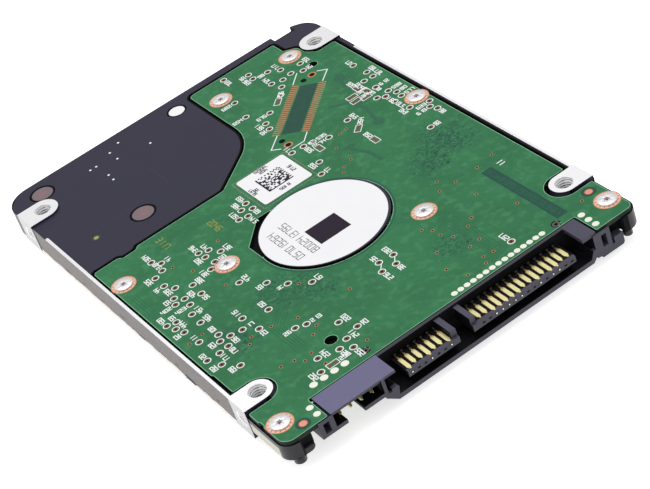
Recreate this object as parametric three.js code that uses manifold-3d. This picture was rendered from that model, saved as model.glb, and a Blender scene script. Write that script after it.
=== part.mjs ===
// Hard disk drive of the 2.5 inch size, 7 mm thick, with a serial connector at one end.
//
// Millimetres. +X across the width, +Y away from the connector, +Z out of the circuit board side,
// so the drive lies on its cover. The origin is the centre of the cover's outer face.
// The sealed inside is modelled too: spindle motor, platter, head actuator, magnets, ramp, latch.

import * as THREE from 'three';
import { mergeVertices } from 'three/addons/utils/BufferGeometryUtils.js';
import Module from 'manifold-3d';

const wasm = await Module();
wasm.setup();

// ---------------------------------------------------------------- driving dimensions

const LENGTH = 100.2;
const WIDTH = 69.85;
const HEIGHT = 7.0;

const MOUNT_HOLE_X = 61.72 / 2;             // mounting holes, either side of the middle
const MOUNT_HOLE_NEAR = 14.0;               // from the connector end
const MOUNT_HOLE_FAR = 90.6;
const MOUNT_HOLE_R = 1.5;
const SIDE_HOLE_DROP = 3.0;                 // side holes, below the mounting pads

const PLATTER_R = 32.5;
const PLATTER_BORE_R = 10.0;
const PLATTER_T = 0.635;
const SPINDLE = { x: 0, y: -9.15 };

const PIVOT = { x: -19.0, y: 22.6 };
const ARM_LENGTH = 31.0;                    // pivot to head gap
const PARK_ANGLE = THREE.MathUtils.degToRad(-1);

const CONTACT_PITCH = 1.27;
const SIGNAL_FIRST_X = -11.27;
const SIGNAL_COUNT = 7;
const POWER_FIRST_X = 2.7;
const POWER_COUNT = 15;

const SLIT = 0.03;                          // between two flat faces that rest on each other
const FIT = 0.05;                           // around a piece that sits in a pocket

// Heights, from the cover's outer face up to the mounting pads.
const Z = {
  coverInside: 0.55,
  gasket: [0.6, 0.95],
  rim: 1.0,
  diskCeiling: 4.0,
  coilCeiling: 5.0,
  boardSeat: 5.8,
  board: [5.85, 6.65],
  deck: 6.65,
  rail: 6.75,
  plateau: 6.86,
  pad: HEIGHT,
  platter: [2.1, 2.1 + PLATTER_T],
  lowerArm: [1.0, 1.55],
  upperArm: [3.25, 3.8],
  coil: [1.95, 3.05],
  tongue: [3.85, 4.97],
};

const CONNECTOR_END = -LENGTH / 2;
const FAR_END = LENGTH / 2;
const NEAR_HOLE_Y = CONNECTOR_END + MOUNT_HOLE_NEAR;
const FAR_HOLE_Y = CONNECTOR_END + MOUNT_HOLE_FAR;
const SIDE_HOLE_Z = HEIGHT - SIDE_HOLE_DROP;
const SIDE_X = WIDTH / 2 - 0.075;           // side walls, just inside the mounting bosses
const RAIL_WIDTH = 0.6;
const BOTH_SIDES = [-1, 1];

const WELL_R = PLATTER_R + 0.6;
const WELL_WALL_R = WELL_R + 1.2;

// ---------------------------------------------------------------- materials

function finish(color, roughness, metalness) {
  return new THREE.MeshStandardMaterial({ color, roughness, metalness });
}

const MATERIALS = {
  blackCasting: finish(0x3b3946, 0.45, 0.3),
  coverSteel: finish(0xc3c6c9, 0.38, 0.9),
  rubberSeal: finish(0x1c1c1e, 0.9, 0),
  whiteLabel: finish(0xf2f3f5, 0.55, 0),
  greenBoard: finish(0x3f7c5c, 0.42, 0),
  screwSteel: finish(0xd9d9dc, 0.28, 1),
  purpleBlackPlastic: finish(0x56546a, 0.5, 0),
  gold: finish(0xe2cb86, 0.3, 1),
  chipBlack: finish(0x222226, 0.55, 0),
  bareAluminium: finish(0xb9bcc0, 0.35, 0.9),
  mirrorPlatter: finish(0xd5d8dc, 0.08, 1),
  steel: finish(0x9a9ca0, 0.3, 1),
  nickelMagnet: finish(0xa9abb0, 0.25, 1),
  copper: finish(0xb8703a, 0.4, 0.9),
  amberFlex: finish(0xb4762a, 0.45, 0),
  naturalPlastic: finish(0xd9cfae, 0.5, 0),
  filterCloth: finish(0xe9e9e4, 0.95, 0),
};

// ---------------------------------------------------------------- solids

function solidFrom(geometry) {
  const positions = geometry.clone();
  positions.deleteAttribute('normal');
  positions.deleteAttribute('uv');
  const welded = mergeVertices(positions, 1e-4);
  const vertProperties = new Float32Array(welded.attributes.position.array);
  const triVerts = new Uint32Array(welded.index.array);
  return new wasm.Manifold(new wasm.Mesh({ numProp: 3, vertProperties, triVerts }));
}

function geometryFrom(solid) {
  const mesh = solid.getMesh();
  const geometry = new THREE.BufferGeometry();
  geometry.setAttribute('position', new THREE.Float32BufferAttribute(mesh.vertProperties, 3));
  geometry.setIndex([...mesh.triVerts]);
  geometry.computeVertexNormals();
  return geometry;
}

function join(...solids) {
  return solids.reduce((whole, piece) => whole.add(piece));
}

function cut(blank, ...tools) {
  return tools.reduce((rest, tool) => rest.subtract(tool), blank);
}

/** A flat plate with the outline `shape`, from height `low` to height `high`. */
function plate(shape, [low, high], curveSegments = 3) {
  const settings = { depth: high - low, bevelEnabled: false, curveSegments };
  return solidFrom(new THREE.ExtrudeGeometry(shape, settings).translate(0, 0, low));
}

/** A bar along Y whose cross-section is `shape`, drawn in X and Z. */
function bar(shape, [near, far]) {
  const settings = { depth: far - near, bevelEnabled: false, curveSegments: 4 };
  return solidFrom(new THREE.ExtrudeGeometry(shape, settings).rotateX(Math.PI / 2).translate(0, far, 0));
}

function block([x0, x1], [y0, y1], [z0, z1]) {
  const geometry = new THREE.BoxGeometry(x1 - x0, y1 - y0, z1 - z0);
  return solidFrom(geometry.translate((x0 + x1) / 2, (y0 + y1) / 2, (z0 + z1) / 2));
}

function disc(x, y, radius, [low, high], segments = 16) {
  const geometry = new THREE.CylinderGeometry(radius, radius, high - low, segments);
  return solidFrom(geometry.rotateX(Math.PI / 2).translate(x, y, (low + high) / 2));
}

/** A body of revolution about the Z axis; `profile` lists [radius, height] and closes on itself. */
function turned(profile, segments = 32) {
  const points = [...profile, profile[0]].map(([r, z]) => new THREE.Vector2(r, z));
  return solidFrom(new THREE.LatheGeometry(points, segments).rotateX(Math.PI / 2));
}

function ring(inner, outer, [low, high], segments = 32) {
  return turned([[inner, low], [outer, low], [outer, high], [inner, high]], segments);
}

/** A closed outline through `corners`, each [x, y] or [x, y, radius of that corner]. */
function outline(corners) {
  const shape = new THREE.Shape();
  corners.forEach(([x, y, radius = 0], i) => {
    const corner = new THREE.Vector2(x, y);
    const [beforeX, beforeY] = corners.at(i - 1);
    const [afterX, afterY] = corners[(i + 1) % corners.length];
    const before = new THREE.Vector2(beforeX, beforeY).sub(corner).normalize();
    const after = new THREE.Vector2(afterX, afterY).sub(corner).normalize();
    if (radius > 0) {
      const half = Math.acos(THREE.MathUtils.clamp(before.dot(after), -1, 1)) / 2;
      const reach = radius / Math.tan(half);
      const start = corner.clone().addScaledVector(before, reach);
      const middle = before.clone().add(after).normalize();
      const centre = corner.clone().addScaledVector(middle, radius / Math.sin(half));
      const from = start.clone().sub(centre).angle();
      const to = corner.clone().addScaledVector(after, reach).sub(centre).angle();
      const clockwise = before.cross(after) > 0;
      if (i === 0) shape.moveTo(start.x, start.y);
      else shape.lineTo(start.x, start.y);
      shape.absarc(centre.x, centre.y, radius, from, to, clockwise);
    } else if (i === 0) shape.moveTo(x, y);
    else shape.lineTo(x, y);
  });
  shape.closePath();
  return shape;
}

function rectangle([x0, x1], [y0, y1], radius = 0) {
  return outline([[x0, y0, radius], [x1, y0, radius], [x1, y1, radius], [x0, y1, radius]]);
}

/** A ring sector about the origin, between two radii and two angles in degrees. */
function sector(inner, outer, fromDegrees, toDegrees) {
  const from = THREE.MathUtils.degToRad(fromDegrees);
  const to = THREE.MathUtils.degToRad(toDegrees);
  const shape = new THREE.Shape();
  shape.absarc(0, 0, outer, from, to, false);
  shape.absarc(0, 0, inner, to, from, true);
  shape.closePath();
  return shape;
}

/** Counter-clockwise `corners` moved outwards by `reach`, with the corner radii to match. */
function widened(corners, reach) {
  return corners.map(([x, y, radius = 0], i) => {
    const [x0, y0] = corners.at(i - 1);
    const [x1, y1] = corners[(i + 1) % corners.length];
    const before = new THREE.Vector2(x - x0, y - y0).normalize();
    const after = new THREE.Vector2(x1 - x, y1 - y).normalize();
    const outward = new THREE.Vector2(before.y + after.y, -before.x - after.x);
    outward.multiplyScalar(reach / (1 + before.dot(after)));
    const newRadius = radius + Math.sign(before.cross(after)) * reach;
    return [x + outward.x, y + outward.y, radius > 0 ? Math.max(newRadius, 0.05) : 0];
  });
}

// ---------------------------------------------------------------- scene graph

const drive = new THREE.Group();
const rotor = new THREE.Group();
const actuator = new THREE.Group();
const latch = new THREE.Group();
rotor.position.set(SPINDLE.x, SPINDLE.y, 0);
actuator.position.set(PIVOT.x, PIVOT.y, 0);
actuator.rotation.z = PARK_ANGLE;
drive.add(rotor, actuator, latch);

function addPart(name, solid, material, parent = drive) {
  const mesh = new THREE.Mesh(geometryFrom(solid), material.clone());
  mesh.name = name;
  parent.add(mesh);
  return mesh;
}

// ---------------------------------------------------------------- circuit board outline

const BOARD_HOLE = { x: -0.1, y: -9.3, r: 11.95 };
const BOARD_FACET = [[-4, 2.3], [-6.8, 2.3], [-12.05, -3.4], [-12.05, -8]];
const BOARD_SCREWS = [
  [-32.35, -45.0], [32.3, -45.3], [12.3, -21.6], [-17.0, -4.0],
  [-31.7, 7.2], [31.5, 7.1], [8.9, 40.6], [25.1, 40.7],
];
const BOARD_HOLES = [[-14.2, -42.3, 0.6], [23.4, -43.1, 0.7], [-16.4, -35.6, 1.1], [26.3, 34.3, 0.95]];

const boardCorners = [
  [-33.8, 14.8, 0.7], [-33.8, -26.4], [-33.55, -26.8], [-33.55, -32.8, 0.3],
  [-27.75, -32.8, 3.1], [-27.75, -39.25, 3.1], [-34.6, -39.25, 0.4],
  [-34.6, -42.1], [-34.35, -42.4], [-34.35, -43.5], [-34.6, -43.8],
  [-34.6, -49.8, 2.0], [-26.55, -49.8, 0.2], [-26.55, -44.2, 0.3],
  [26.3, -44.2, 0.3], [26.3, -49.8, 0.2], [34.05, -49.8, 1.3], [34.05, -39.3, 0.3],
  [27.5, -39.3, 3.1], [27.5, -32.8, 3.1], [33.3, -32.8, 0.3],
  [33.3, 37.2, 0.4], [29.3, 37.2, 1.2], [27.8, 39.4, 1.5], [27.7, 42.2, 1.2], [25.4, 43.7, 0.6],
  [25.4, 47.45, 0.4], [5.6, 47.45, 1.0], [5.6, 24.4, 11.0], [-6.3, 14.85, 1.5],
  [-24.6, 14.85, 0.4], [-25.4, 14.1, 0.4], [-28.0, 14.1, 0.4], [-28.8, 14.85, 0.4],
];

/** The opening around the spindle motor, with the straight facet beside it. */
function boardOpening([low, high]) {
  const round = disc(BOARD_HOLE.x, BOARD_HOLE.y, BOARD_HOLE.r, [low - 1, high + 1], 64);
  return join(round, plate(outline(BOARD_FACET), [low - 1, high + 1]));
}

const CHIPS = {
  controller_chip: { x: [-19.5, -8.5], y: [-29.5, -18.5] },
  memory_chip: { x: [2, 10], y: [-35, -25] },
  motor_driver_chip: { x: [20, 28], y: [-13.5, -5.5] },
  flash_chip: { x: [-29.5, -24.5], y: [-3, 1] },
};
const BOARD_GROOVE = 0.45;                  // between the board's edge and the casting around it
const CHIP_HEIGHTS = [Z.boardSeat - 0.85, Z.boardSeat + 0.02];

const HEAD_CONNECTOR = { x: [10.8, 23.2], y: [38.4, 42.6] };

// ---------------------------------------------------------------- base casting

const COVER_SCREWS = [
  [-30.0, 40.5], [30.0, 40.5], [-31.8, 6.0], [31.8, 6.0], [-31.2, -30.5], [31.2, -30.5],
];
const COVER_SCREW_TIP = 3.6;
const BOSS_WALL_R = 3.7;

/** The machined hollow that the cover closes, between two heights. */
function sealedRoom(heights, reach = 0) {
  const floorPlan = rectangle([-33.1 - reach, 33.1 + reach], [10 - reach, 47.9 + reach], 3 + reach);
  const room = plate(floorPlan, heights);
  const through = [heights[0] - 1, heights[1] + 1];
  const bossWalls = BOTH_SIDES.map((side) => (
    disc(side * MOUNT_HOLE_X, FAR_HOLE_Y, BOSS_WALL_R - reach, through)
  ));
  return join(disc(SPINDLE.x, SPINDLE.y, WELL_R + reach, heights, 40), cut(room, ...bossWalls));
}

/** A mounting boss: round on the inside, running out flat to the drive's side. */
function mountingBoss(side, y, radius, heights) {
  const inner = side * MOUNT_HOLE_X;
  const face = (side * WIDTH) / 2;
  const corners = [
    [face, y - radius], [face, y + radius],
    [inner - side * radius, y + radius, radius * 0.98], [inner - side * radius, y - radius, radius * 0.98],
  ];
  return plate(outline(side > 0 ? corners : corners.reverse()), heights, 8);
}

function mountingHole(side, y) {
  const chamfer = new THREE.CylinderGeometry(MOUNT_HOLE_R + 0.35, MOUNT_HOLE_R - 0.15, 0.5, 24);
  const cone = solidFrom(chamfer.rotateX(Math.PI / 2).translate(side * MOUNT_HOLE_X, y, Z.pad));
  return join(disc(side * MOUNT_HOLE_X, y, MOUNT_HOLE_R, [Z.diskCeiling + 0.1, Z.pad + 1], 24), cone);
}

function sideHole(side, y) {
  const depth = 2.3;
  const geometry = new THREE.CylinderGeometry(MOUNT_HOLE_R, MOUNT_HOLE_R, depth + 1, 24);
  const x = side * (WIDTH / 2 - depth / 2 + 0.5);
  return solidFrom(geometry.rotateZ(Math.PI / 2).translate(x, y, SIDE_HOLE_Z));
}

/** Each arm of the casting beside the connector: its outer post, the web inside it, and its foot. */
const HORN = { low: 2.9, inner: 29.9, ledgeTop: 3.9, end: -33 };
const HORN_SIDES = [
  { side: -1, post: 32.0, webFront: 0.6, ledgeFront: 0.1, foot: { x: 32.8, r: 1.03 } },
  { side: 1, post: 31.3, webFront: 1.6, ledgeFront: 1.6, foot: { x: 32.05, r: 0.8 } },
];

function boardHorn({ side, post, webFront, ledgeFront, foot }) {
  const mirrored = (corners) => {
    const placed = corners.map(([x, y, r]) => [side * x, y, r]);
    return outline(side > 0 ? placed : placed.reverse());
  };
  const { low, inner, end } = HORN;
  const outer = mirrored([[post, CONNECTOR_END], [SIDE_X, CONNECTOR_END, 2.6], [SIDE_X, end], [post, end]]);
  const web = mirrored([
    [inner, low, 1.2], [post + 0.2, low], [post + 0.2, Z.boardSeat], [inner, Z.boardSeat, 0.4],
  ]);
  const ledge = mirrored([
    [inner + 0.2, low, 0.8], [post + 0.2, low], [post + 0.2, HORN.ledgeTop], [inner + 0.2, HORN.ledgeTop],
  ]);
  return join(
    plate(outer, [low, Z.boardSeat], 6),
    bar(web, [CONNECTOR_END + webFront, end]),
    bar(ledge, [CONNECTOR_END + ledgeFront, end]),
    disc(side * foot.x, CONNECTOR_END + foot.r, foot.r, [1.9, low + 0.1], 24),
  );
}

function castingBlank() {
  const main = outline([
    [-SIDE_X, -34], [SIDE_X, -34], [SIDE_X, FAR_END, 5], [-SIDE_X, FAR_END, 5],
  ]);
  const shroud = disc(SPINDLE.x, SPINDLE.y, WELL_WALL_R, [Z.rim, Z.deck], 72);
  const farStep = block([26.5, 31], [FAR_END - 1.7, FAR_END + 1], [5.2, Z.deck + 1]);
  const blank = join(cut(plate(main, [Z.rim, Z.deck], 6), farStep), shroud);
  const boardPocket = plate(outline(widened(boardCorners, BOARD_GROOVE)), [Z.boardSeat, Z.deck + 1], 4);
  const overHorns = block([-WIDTH, WIDTH], [CONNECTOR_END - 1, -33.9], [Z.boardSeat, Z.deck + 1]);
  return cut(blank, boardPocket, overHorns);
}

function baseCasting() {
  const rails = BOTH_SIDES.map((side) => {
    const inner = SIDE_X - RAIL_WIDTH;
    const strip = side > 0 ? [inner, SIDE_X] : [-SIDE_X, -inner];
    return plate(rectangle(strip, [-34.5, 32], 0.3), [Z.rim + 1, Z.rail], 4);
  });
  const nearBosses = BOTH_SIDES.map((side) => mountingBoss(side, NEAR_HOLE_Y, 2.55, [1.4, Z.pad]));
  const farBosses = BOTH_SIDES.map((side) => mountingBoss(side, FAR_HOLE_Y, 2.95, [Z.rim + 0.3, Z.pad]));
  const plateau = disc(SPINDLE.x, SPINDLE.y, 11.65, [Z.diskCeiling, Z.plateau], 64);
  const horns = HORN_SIDES.map(boardHorn);
  const solid = join(castingBlank(), ...horns, ...rails, ...nearBosses, ...farBosses, plateau);

  const motorRecess = disc(SPINDLE.x, SPINDLE.y, 11.0, [Z.rim - 1, Z.boardSeat + 0.1], 28);
  const coilRoom = cut(
    plate(rectangle([-33.1, -8], [11.5, 47.9], 2.5), [Z.rim - 1, Z.coilCeiling]),
    disc(-MOUNT_HOLE_X, FAR_HOLE_Y, BOSS_WALL_R, [0, Z.deck]),
  );
  const latchNook = block([-33.6, -32.5], [11.5, 21], [Z.rim - 1, Z.diskCeiling]);
  const chipPockets = Object.values(CHIPS).map(({ x, y }) => (
    block([x[0] - 0.3, x[1] + 0.3], [y[0] - 0.3, y[1] + 0.3], [CHIP_HEIGHTS[0] - 0.08, Z.deck])
  ));
  const connectorSlot = block(
    [HEAD_CONNECTOR.x[0] - FIT, HEAD_CONNECTOR.x[1] + FIT],
    [HEAD_CONNECTOR.y[0] - FIT, HEAD_CONNECTOR.y[1] + FIT], [Z.rim, Z.deck],
  );
  const boardScrewHoles = BOARD_SCREWS.map(([x, y]) => disc(x, y, 0.8, [4.62, Z.deck], 8));
  const coverScrewHoles = COVER_SCREWS.map(([x, y]) => disc(x, y, 0.85, [0, COVER_SCREW_TIP + 0.1], 8));
  const holePlaces = [NEAR_HOLE_Y, FAR_HOLE_Y].flatMap((y) => BOTH_SIDES.map((side) => [side, y]));
  const mountHoles = holePlaces.map(([side, y]) => mountingHole(side, y));
  const sideHoles = holePlaces.map(([side, y]) => sideHole(side, y));
  const deckMarks = [[PIVOT.x, PIVOT.y, 2.2], [-28.4, 45.7, 2.2], [1.7, 45.6, 1.65]];
  const deckSpots = deckMarks.map(([x, y, r]) => disc(x, y, r, [Z.deck - 0.12, Z.deck + 1], 32));

  return cut(
    solid, sealedRoom([Z.rim - 1, Z.diskCeiling]), motorRecess, coilRoom, latchNook, ...chipPockets,
    connectorSlot, ...boardScrewHoles, ...coverScrewHoles, ...mountHoles, ...sideHoles, ...deckSpots,
  );
}

addPart('base_casting', baseCasting(), MATERIALS.blackCasting);

// ---------------------------------------------------------------- cover, seal, label, screws

const BREATHER = { x: 30.2, y: 31.5 };
const LABEL = { x: [-27, 27], y: [-22, 36] };
const SCREW_HEAD = { r: 1.7, t: 0.26 };

function screw(headRadius, headHeights, shankRadius, tip) {
  const [low, high] = headHeights;
  const upwards = tip > high;
  const head = cut(
    disc(0, 0, headRadius, headHeights, 16),
    disc(0, 0, headRadius * 0.42, upwards ? [low - 1, low + 0.12] : [high - 0.12, high + 1], 6),
  );
  return join(head, disc(0, 0, shankRadius, upwards ? [low + 0.13, tip] : [tip, high - 0.13], 8));
}

function topCover() {
  const main = plate(rectangle([-33.9, 33.9], [-33.3, 49.3], 4.4), [0, Z.coverInside], 6);
  const round = disc(SPINDLE.x, SPINDLE.y, WELL_WALL_R - 0.3, [0, Z.coverInside], 72);
  const margin = 0.3;
  const bedShape = rectangle(
    [LABEL.x[0] - margin, LABEL.x[1] + margin], [LABEL.y[0] - margin, LABEL.y[1] + margin], 2,
  );
  const labelBed = plate(bedShape, [-1, 0.14]);
  const holes = [...COVER_SCREWS, [PIVOT.x, PIVOT.y]].map(([x, y]) => join(
    disc(x, y, 0.9, [-1, 1], 8), disc(x, y, SCREW_HEAD.r + 0.1, [-1, SCREW_HEAD.t + SLIT * 2], 16),
  ));
  return cut(join(main, round), labelBed, ...holes, disc(BREATHER.x, BREATHER.y, 0.5, [-1, 1], 12));
}

addPart('top_cover', topCover(), MATERIALS.coverSteel);

const sealHole = sealedRoom([Z.gasket[0] - 1, Z.gasket[1] + 1], 0.2);
addPart('cover_gasket', cut(sealedRoom(Z.gasket, 0.85), sealHole), MATERIALS.rubberSeal);

const pivotHole = disc(PIVOT.x, PIVOT.y, SCREW_HEAD.r + 0.5, [0, 1]);
const labelShape = rectangle(LABEL.x, LABEL.y, 1.8);
addPart('top_label', cut(plate(labelShape, [0.03, 0.11]), pivotHole), MATERIALS.whiteLabel);

COVER_SCREWS.forEach(([x, y], i) => {
  const solid = screw(SCREW_HEAD.r, [0.02, SCREW_HEAD.t], 0.8, COVER_SCREW_TIP);
  addPart(`cover_screw_${i + 1}`, solid, MATERIALS.screwSteel).position.set(x, y, 0);
});

const PIVOT_SHAFT_TOP = Z.coilCeiling - SLIT;
const pivotScrew = screw(SCREW_HEAD.r, [0.02, SCREW_HEAD.t], 0.6, 2.4);
addPart('pivot_screw', pivotScrew, MATERIALS.screwSteel).position.set(PIVOT.x, PIVOT.y, 0);

// ---------------------------------------------------------------- circuit board and its pieces

function circuitBoard() {
  const through = [Z.board[0] - 1, Z.board[1] + 1];
  const screwHoles = BOARD_SCREWS.map(([x, y]) => disc(x, y, 0.95, through, 16));
  const otherHoles = BOARD_HOLES.map(([x, y, r]) => disc(x, y, r, through, 20));
  const blank = plate(outline(boardCorners), Z.board, 4);
  return cut(blank, boardOpening(Z.board), ...screwHoles, ...otherHoles);
}

addPart('pcb', circuitBoard(), MATERIALS.greenBoard);

BOARD_SCREWS.forEach(([x, y], i) => {
  const solid = screw(1.7, [Z.board[1] + SLIT, HEIGHT - 0.04], 0.7, 4.7);
  addPart(`pcb_screw_${i + 1}`, solid, MATERIALS.screwSteel).position.set(x, y, 0);
});

Object.entries(CHIPS).forEach(([name, { x, y }]) => {
  addPart(name, block(x, y, CHIP_HEIGHTS), MATERIALS.chipBlack);
});

const headConnector = block(HEAD_CONNECTOR.x, HEAD_CONNECTOR.y, [3.2, Z.boardSeat]);
addPart('head_connector', headConnector, MATERIALS.chipBlack);

const motorLabel = disc(SPINDLE.x - 0.2, SPINDLE.y, 11.35, [Z.plateau + 0.02, Z.plateau + 0.1], 64);
addPart('motor_label', motorLabel, MATERIALS.whiteLabel);

const stickerHeights = [Z.board[1] + 0.02, Z.board[1] + 0.1];
const boardSticker = plate(rectangle([-3.75, 6.45], [4.2, 14.6], 0.5), stickerHeights);
addPart('pcb_sticker', boardSticker, MATERIALS.whiteLabel);

// ---------------------------------------------------------------- serial connector

const SOCKET = { left: -16.8, right: 25.6, back: -45.1, wall: 0.6, floor: [1.4, 2.25] };
const TONGUE_FRONT = CONNECTOR_END + 0.1;
const TONGUES = [{ x: [-12.05, -2.05], key: [-3.15, -2.05] }, { x: [0.65, 21.25], key: [0.65, 1.65] }];
const PIN_BAY = { left: -25.9, floor: [3.4, 4.1] };
const JUMPER_PINS_X = [-24.1, -22.1, -20.1, -18.1];
const JUMPER_PIN_HEIGHTS = [4.4, 4.9];
const CONTACT_BACK = SOCKET.back + 1.2;
const CONTACT_ROWS = {
  signal_contacts: { first: SIGNAL_FIRST_X, count: SIGNAL_COUNT, long: [1, 4, 7] },
  power_contacts: { first: POWER_FIRST_X, count: POWER_COUNT, long: [3, 4, 5, 6, 7, 10, 12, 13] },
};

/** The housing's end leg under a corner of the board: a small window, and a lip before the board's edge. */
function housingLeg([x0, x1], low, lipTop, window) {
  const leg = block([x0, x1], [CONNECTOR_END, SOCKET.back + 0.6], [low, Z.boardSeat]);
  const lip = block([x0, x1], [CONNECTOR_END, CONNECTOR_END + 0.2], [low, lipTop]);
  return cut(join(leg, lip), block(window.x, [CONNECTOR_END - 1, CONNECTOR_END + 3], window.z));
}

function connectorHousing() {
  const top = Z.deck + 0.05;
  const front = [CONNECTOR_END, SOCKET.back + 0.1];
  const back = [SOCKET.back, SOCKET.back + 0.65];
  const body = join(
    block([SOCKET.left, SOCKET.right + 0.3], back, [SOCKET.floor[0], top]),
    block([PIN_BAY.left - 2.9, SOCKET.left + 0.5], back, [PIN_BAY.floor[0], Z.boardSeat]),
    block([-26.1, SOCKET.left + 0.5], back, [PIN_BAY.floor[0], top]),
    block([-26.1, -13.95], [CONNECTOR_END + 0.2, SOCKET.back + 0.65], [6.25, top]),
    block([23.2, SOCKET.right + 0.3], [CONNECTOR_END + 0.2, SOCKET.back + 0.65], [6.0, top]),
    block([SOCKET.left, SOCKET.left + SOCKET.wall], front, [2.9, top - 0.05]),
    block([SOCKET.right - 0.5, SOCKET.right], front, [2.4, 6.1]),
  );
  const base = SOCKET.floor[0];
  const floorSection = outline([
    [-14.8, base], [24.2, base], [SOCKET.right, base + 1.4], [SOCKET.right, base + 2.2],
    [24.6, base + 2.2], [23.9, base + 0.85], [-14.5, base + 0.85], [-14.2, base + 2.35],
    [-14.4, base + 2.6], [-15.5, base + 2.55], [-15.6, base + 2.1],
    [SOCKET.left, base + 2.1], [SOCKET.left, base + 1.55],
  ]);
  const tongues = TONGUES.map(({ x, key }) => join(
    block(x, [TONGUE_FRONT, SOCKET.back + 0.1], Z.tongue),
    block(key, [TONGUE_FRONT + 0.5, SOCKET.back + 0.1], [Z.tongue[0], 6.3]),
  ));
  const leftWindow = { x: [-27.9, -26.8], z: [4.0, 5.95] };
  const rightWindow = { x: [26.6, 27.6], z: [3.1, 5.4] };
  const legs = [
    housingLeg([PIN_BAY.left - 2.75, PIN_BAY.left], PIN_BAY.floor[0], 6.5, leftWindow),
    housingLeg([SOCKET.right - 0.4, 28.4], 2.35, 6.15, rightWindow),
  ];
  const bayFloors = [[PIN_BAY.left - 0.3, -23.9], [-20.7, SOCKET.left + 0.3]].map((x) => (
    block(x, [CONNECTOR_END, SOCKET.back + 0.1], PIN_BAY.floor)
  ));
  const earSection = outline([
    [26.2, 1.2], [30.4, 1.2], [30.7, 1.6], [30.7, 3.5], [28.9, 3.5], [28.9, 2.4], [25.2, 2.4],
  ]);
  const ear = join(
    bar(earSection, [CONNECTOR_END + 0.1, CONNECTOR_END + 1.5]),
    block([25.4, 29.6], [CONNECTOR_END + 0.4, SOCKET.back + 0.6], [SOCKET.floor[0], 2.4]),
  );
  const wallSlots = Object.values(CONTACT_ROWS).map(({ first, count }) => block(
    [first - 0.4, first + (count - 1) * CONTACT_PITCH + 0.4], [SOCKET.back - 0.2, SOCKET.back + 1],
    [Z.tongue[1], Z.tongue[1] + 0.2],
  ));
  const pinSlot = block(
    [JUMPER_PINS_X[0] - 0.35, JUMPER_PINS_X[3] + 0.35], [SOCKET.back - 0.2, SOCKET.back + 1],
    [JUMPER_PIN_HEIGHTS[0] - FIT, JUMPER_PIN_HEIGHTS[1] + FIT],
  );
  const solid = join(body, bar(floorSection, front), ...tongues, ...legs, ...bayFloors, ear);
  return cut(solid, ...wallSlots, pinSlot);
}

/** Contacts on a tongue, held together behind the housing by the strip they are stamped from. */
function contactRow(firstX, count, longContacts) {
  const contacts = Array.from({ length: count }, (_, i) => {
    const x = firstX + i * CONTACT_PITCH;
    const tip = TONGUE_FRONT + (longContacts.includes(i + 1) ? 0.25 : 0.75);
    const level = [Z.tongue[1] + 0.02, Z.tongue[1] + 0.14];
    const blade = outline([
      [x - 0.42, -46.6], [x - 0.42, tip + 0.45], [x, tip], [x + 0.42, tip + 0.45], [x + 0.42, -46.6],
    ]);
    return join(plate(blade, level), block([x - 0.2, x + 0.2], [-46.7, CONTACT_BACK], level));
  });
  const lastX = firstX + (count - 1) * CONTACT_PITCH;
  const strip = block(
    [firstX - 0.3, lastX + 0.3], [CONTACT_BACK - 0.4, CONTACT_BACK], [Z.tongue[1] + 0.02, 5.5],
  );
  return join(strip, ...contacts);
}

function jumperPins() {
  const pins = JUMPER_PINS_X.map((x) => (
    block([x - 0.25, x + 0.25], [CONNECTOR_END + 1.1, CONTACT_BACK - 0.2], JUMPER_PIN_HEIGHTS)
  ));
  const stripX = [JUMPER_PINS_X[0] - 0.3, JUMPER_PINS_X[3] + 0.3];
  const strip = block(stripX, [CONTACT_BACK - 0.4, CONTACT_BACK], JUMPER_PIN_HEIGHTS);
  return join(strip, ...pins);
}

addPart('sata_housing', connectorHousing(), MATERIALS.purpleBlackPlastic);
Object.entries(CONTACT_ROWS).forEach(([name, row]) => {
  addPart(name, contactRow(row.first, row.count, row.long), MATERIALS.gold);
});
addPart('jumper_pins', jumperPins(), MATERIALS.gold);

// ---------------------------------------------------------------- spindle motor and platter

const SHAFT_R = 1.5;
const TEETH = 9;
const CORE = { eye: 3.5, yoke: 4.5, shoe: 7.9, r: 8.8, heights: [4.15, 4.95] };

function statorCore() {
  const tooth = (i) => {
    const stem = block([CORE.yoke - 0.3, CORE.shoe + 0.3], [-0.55, 0.55], CORE.heights);
    const shoe = plate(sector(CORE.shoe, CORE.r, -15, 15), CORE.heights, 1);
    return join(stem, shoe).rotate([0, 0, (i * 360) / TEETH]);
  };
  const teeth = Array.from({ length: TEETH }, (_, i) => tooth(i));
  return join(ring(CORE.eye, CORE.yoke, CORE.heights, 18), ...teeth);
}

function statorWindings() {
  const coil = (i) => {
    const around = block([CORE.yoke + 0.35, CORE.shoe - 0.15], [-1.1, 1.1], [3.8, 5.3]);
    const room = block([0, CORE.r], [-0.6, 0.6], [CORE.heights[0] - FIT, CORE.heights[1] + FIT]);
    return cut(around, room).rotate([0, 0, (i * 360) / TEETH]);
  };
  const loop = ring(CORE.yoke + 0.1, CORE.yoke + 0.7, [CORE.heights[1] + FIT, 5.3], 18);
  return join(loop, ...Array.from({ length: TEETH }, (_, i) => coil(i)));
}

function fixedAtSpindle(name, solid, material) {
  addPart(name, solid, material).position.set(SPINDLE.x, SPINDLE.y, 0);
}

const bearingSleeve = ring(SHAFT_R + 0.06, CORE.eye - FIT, [3.4, Z.boardSeat], 18);
fixedAtSpindle('bearing_sleeve', bearingSleeve, MATERIALS.bareAluminium);
fixedAtSpindle('stator_core', statorCore(), MATERIALS.steel);
fixedAtSpindle('stator_windings', statorWindings(), MATERIALS.copper);

const HUB = {
  r: PLATTER_BORE_R - FIT,
  flange: 11.5,
  top: 1.9,
  seat: Z.platter[1] + 0.02,
  web: 3.25,
  skirt: [9.65, 10.7],
};

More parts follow.
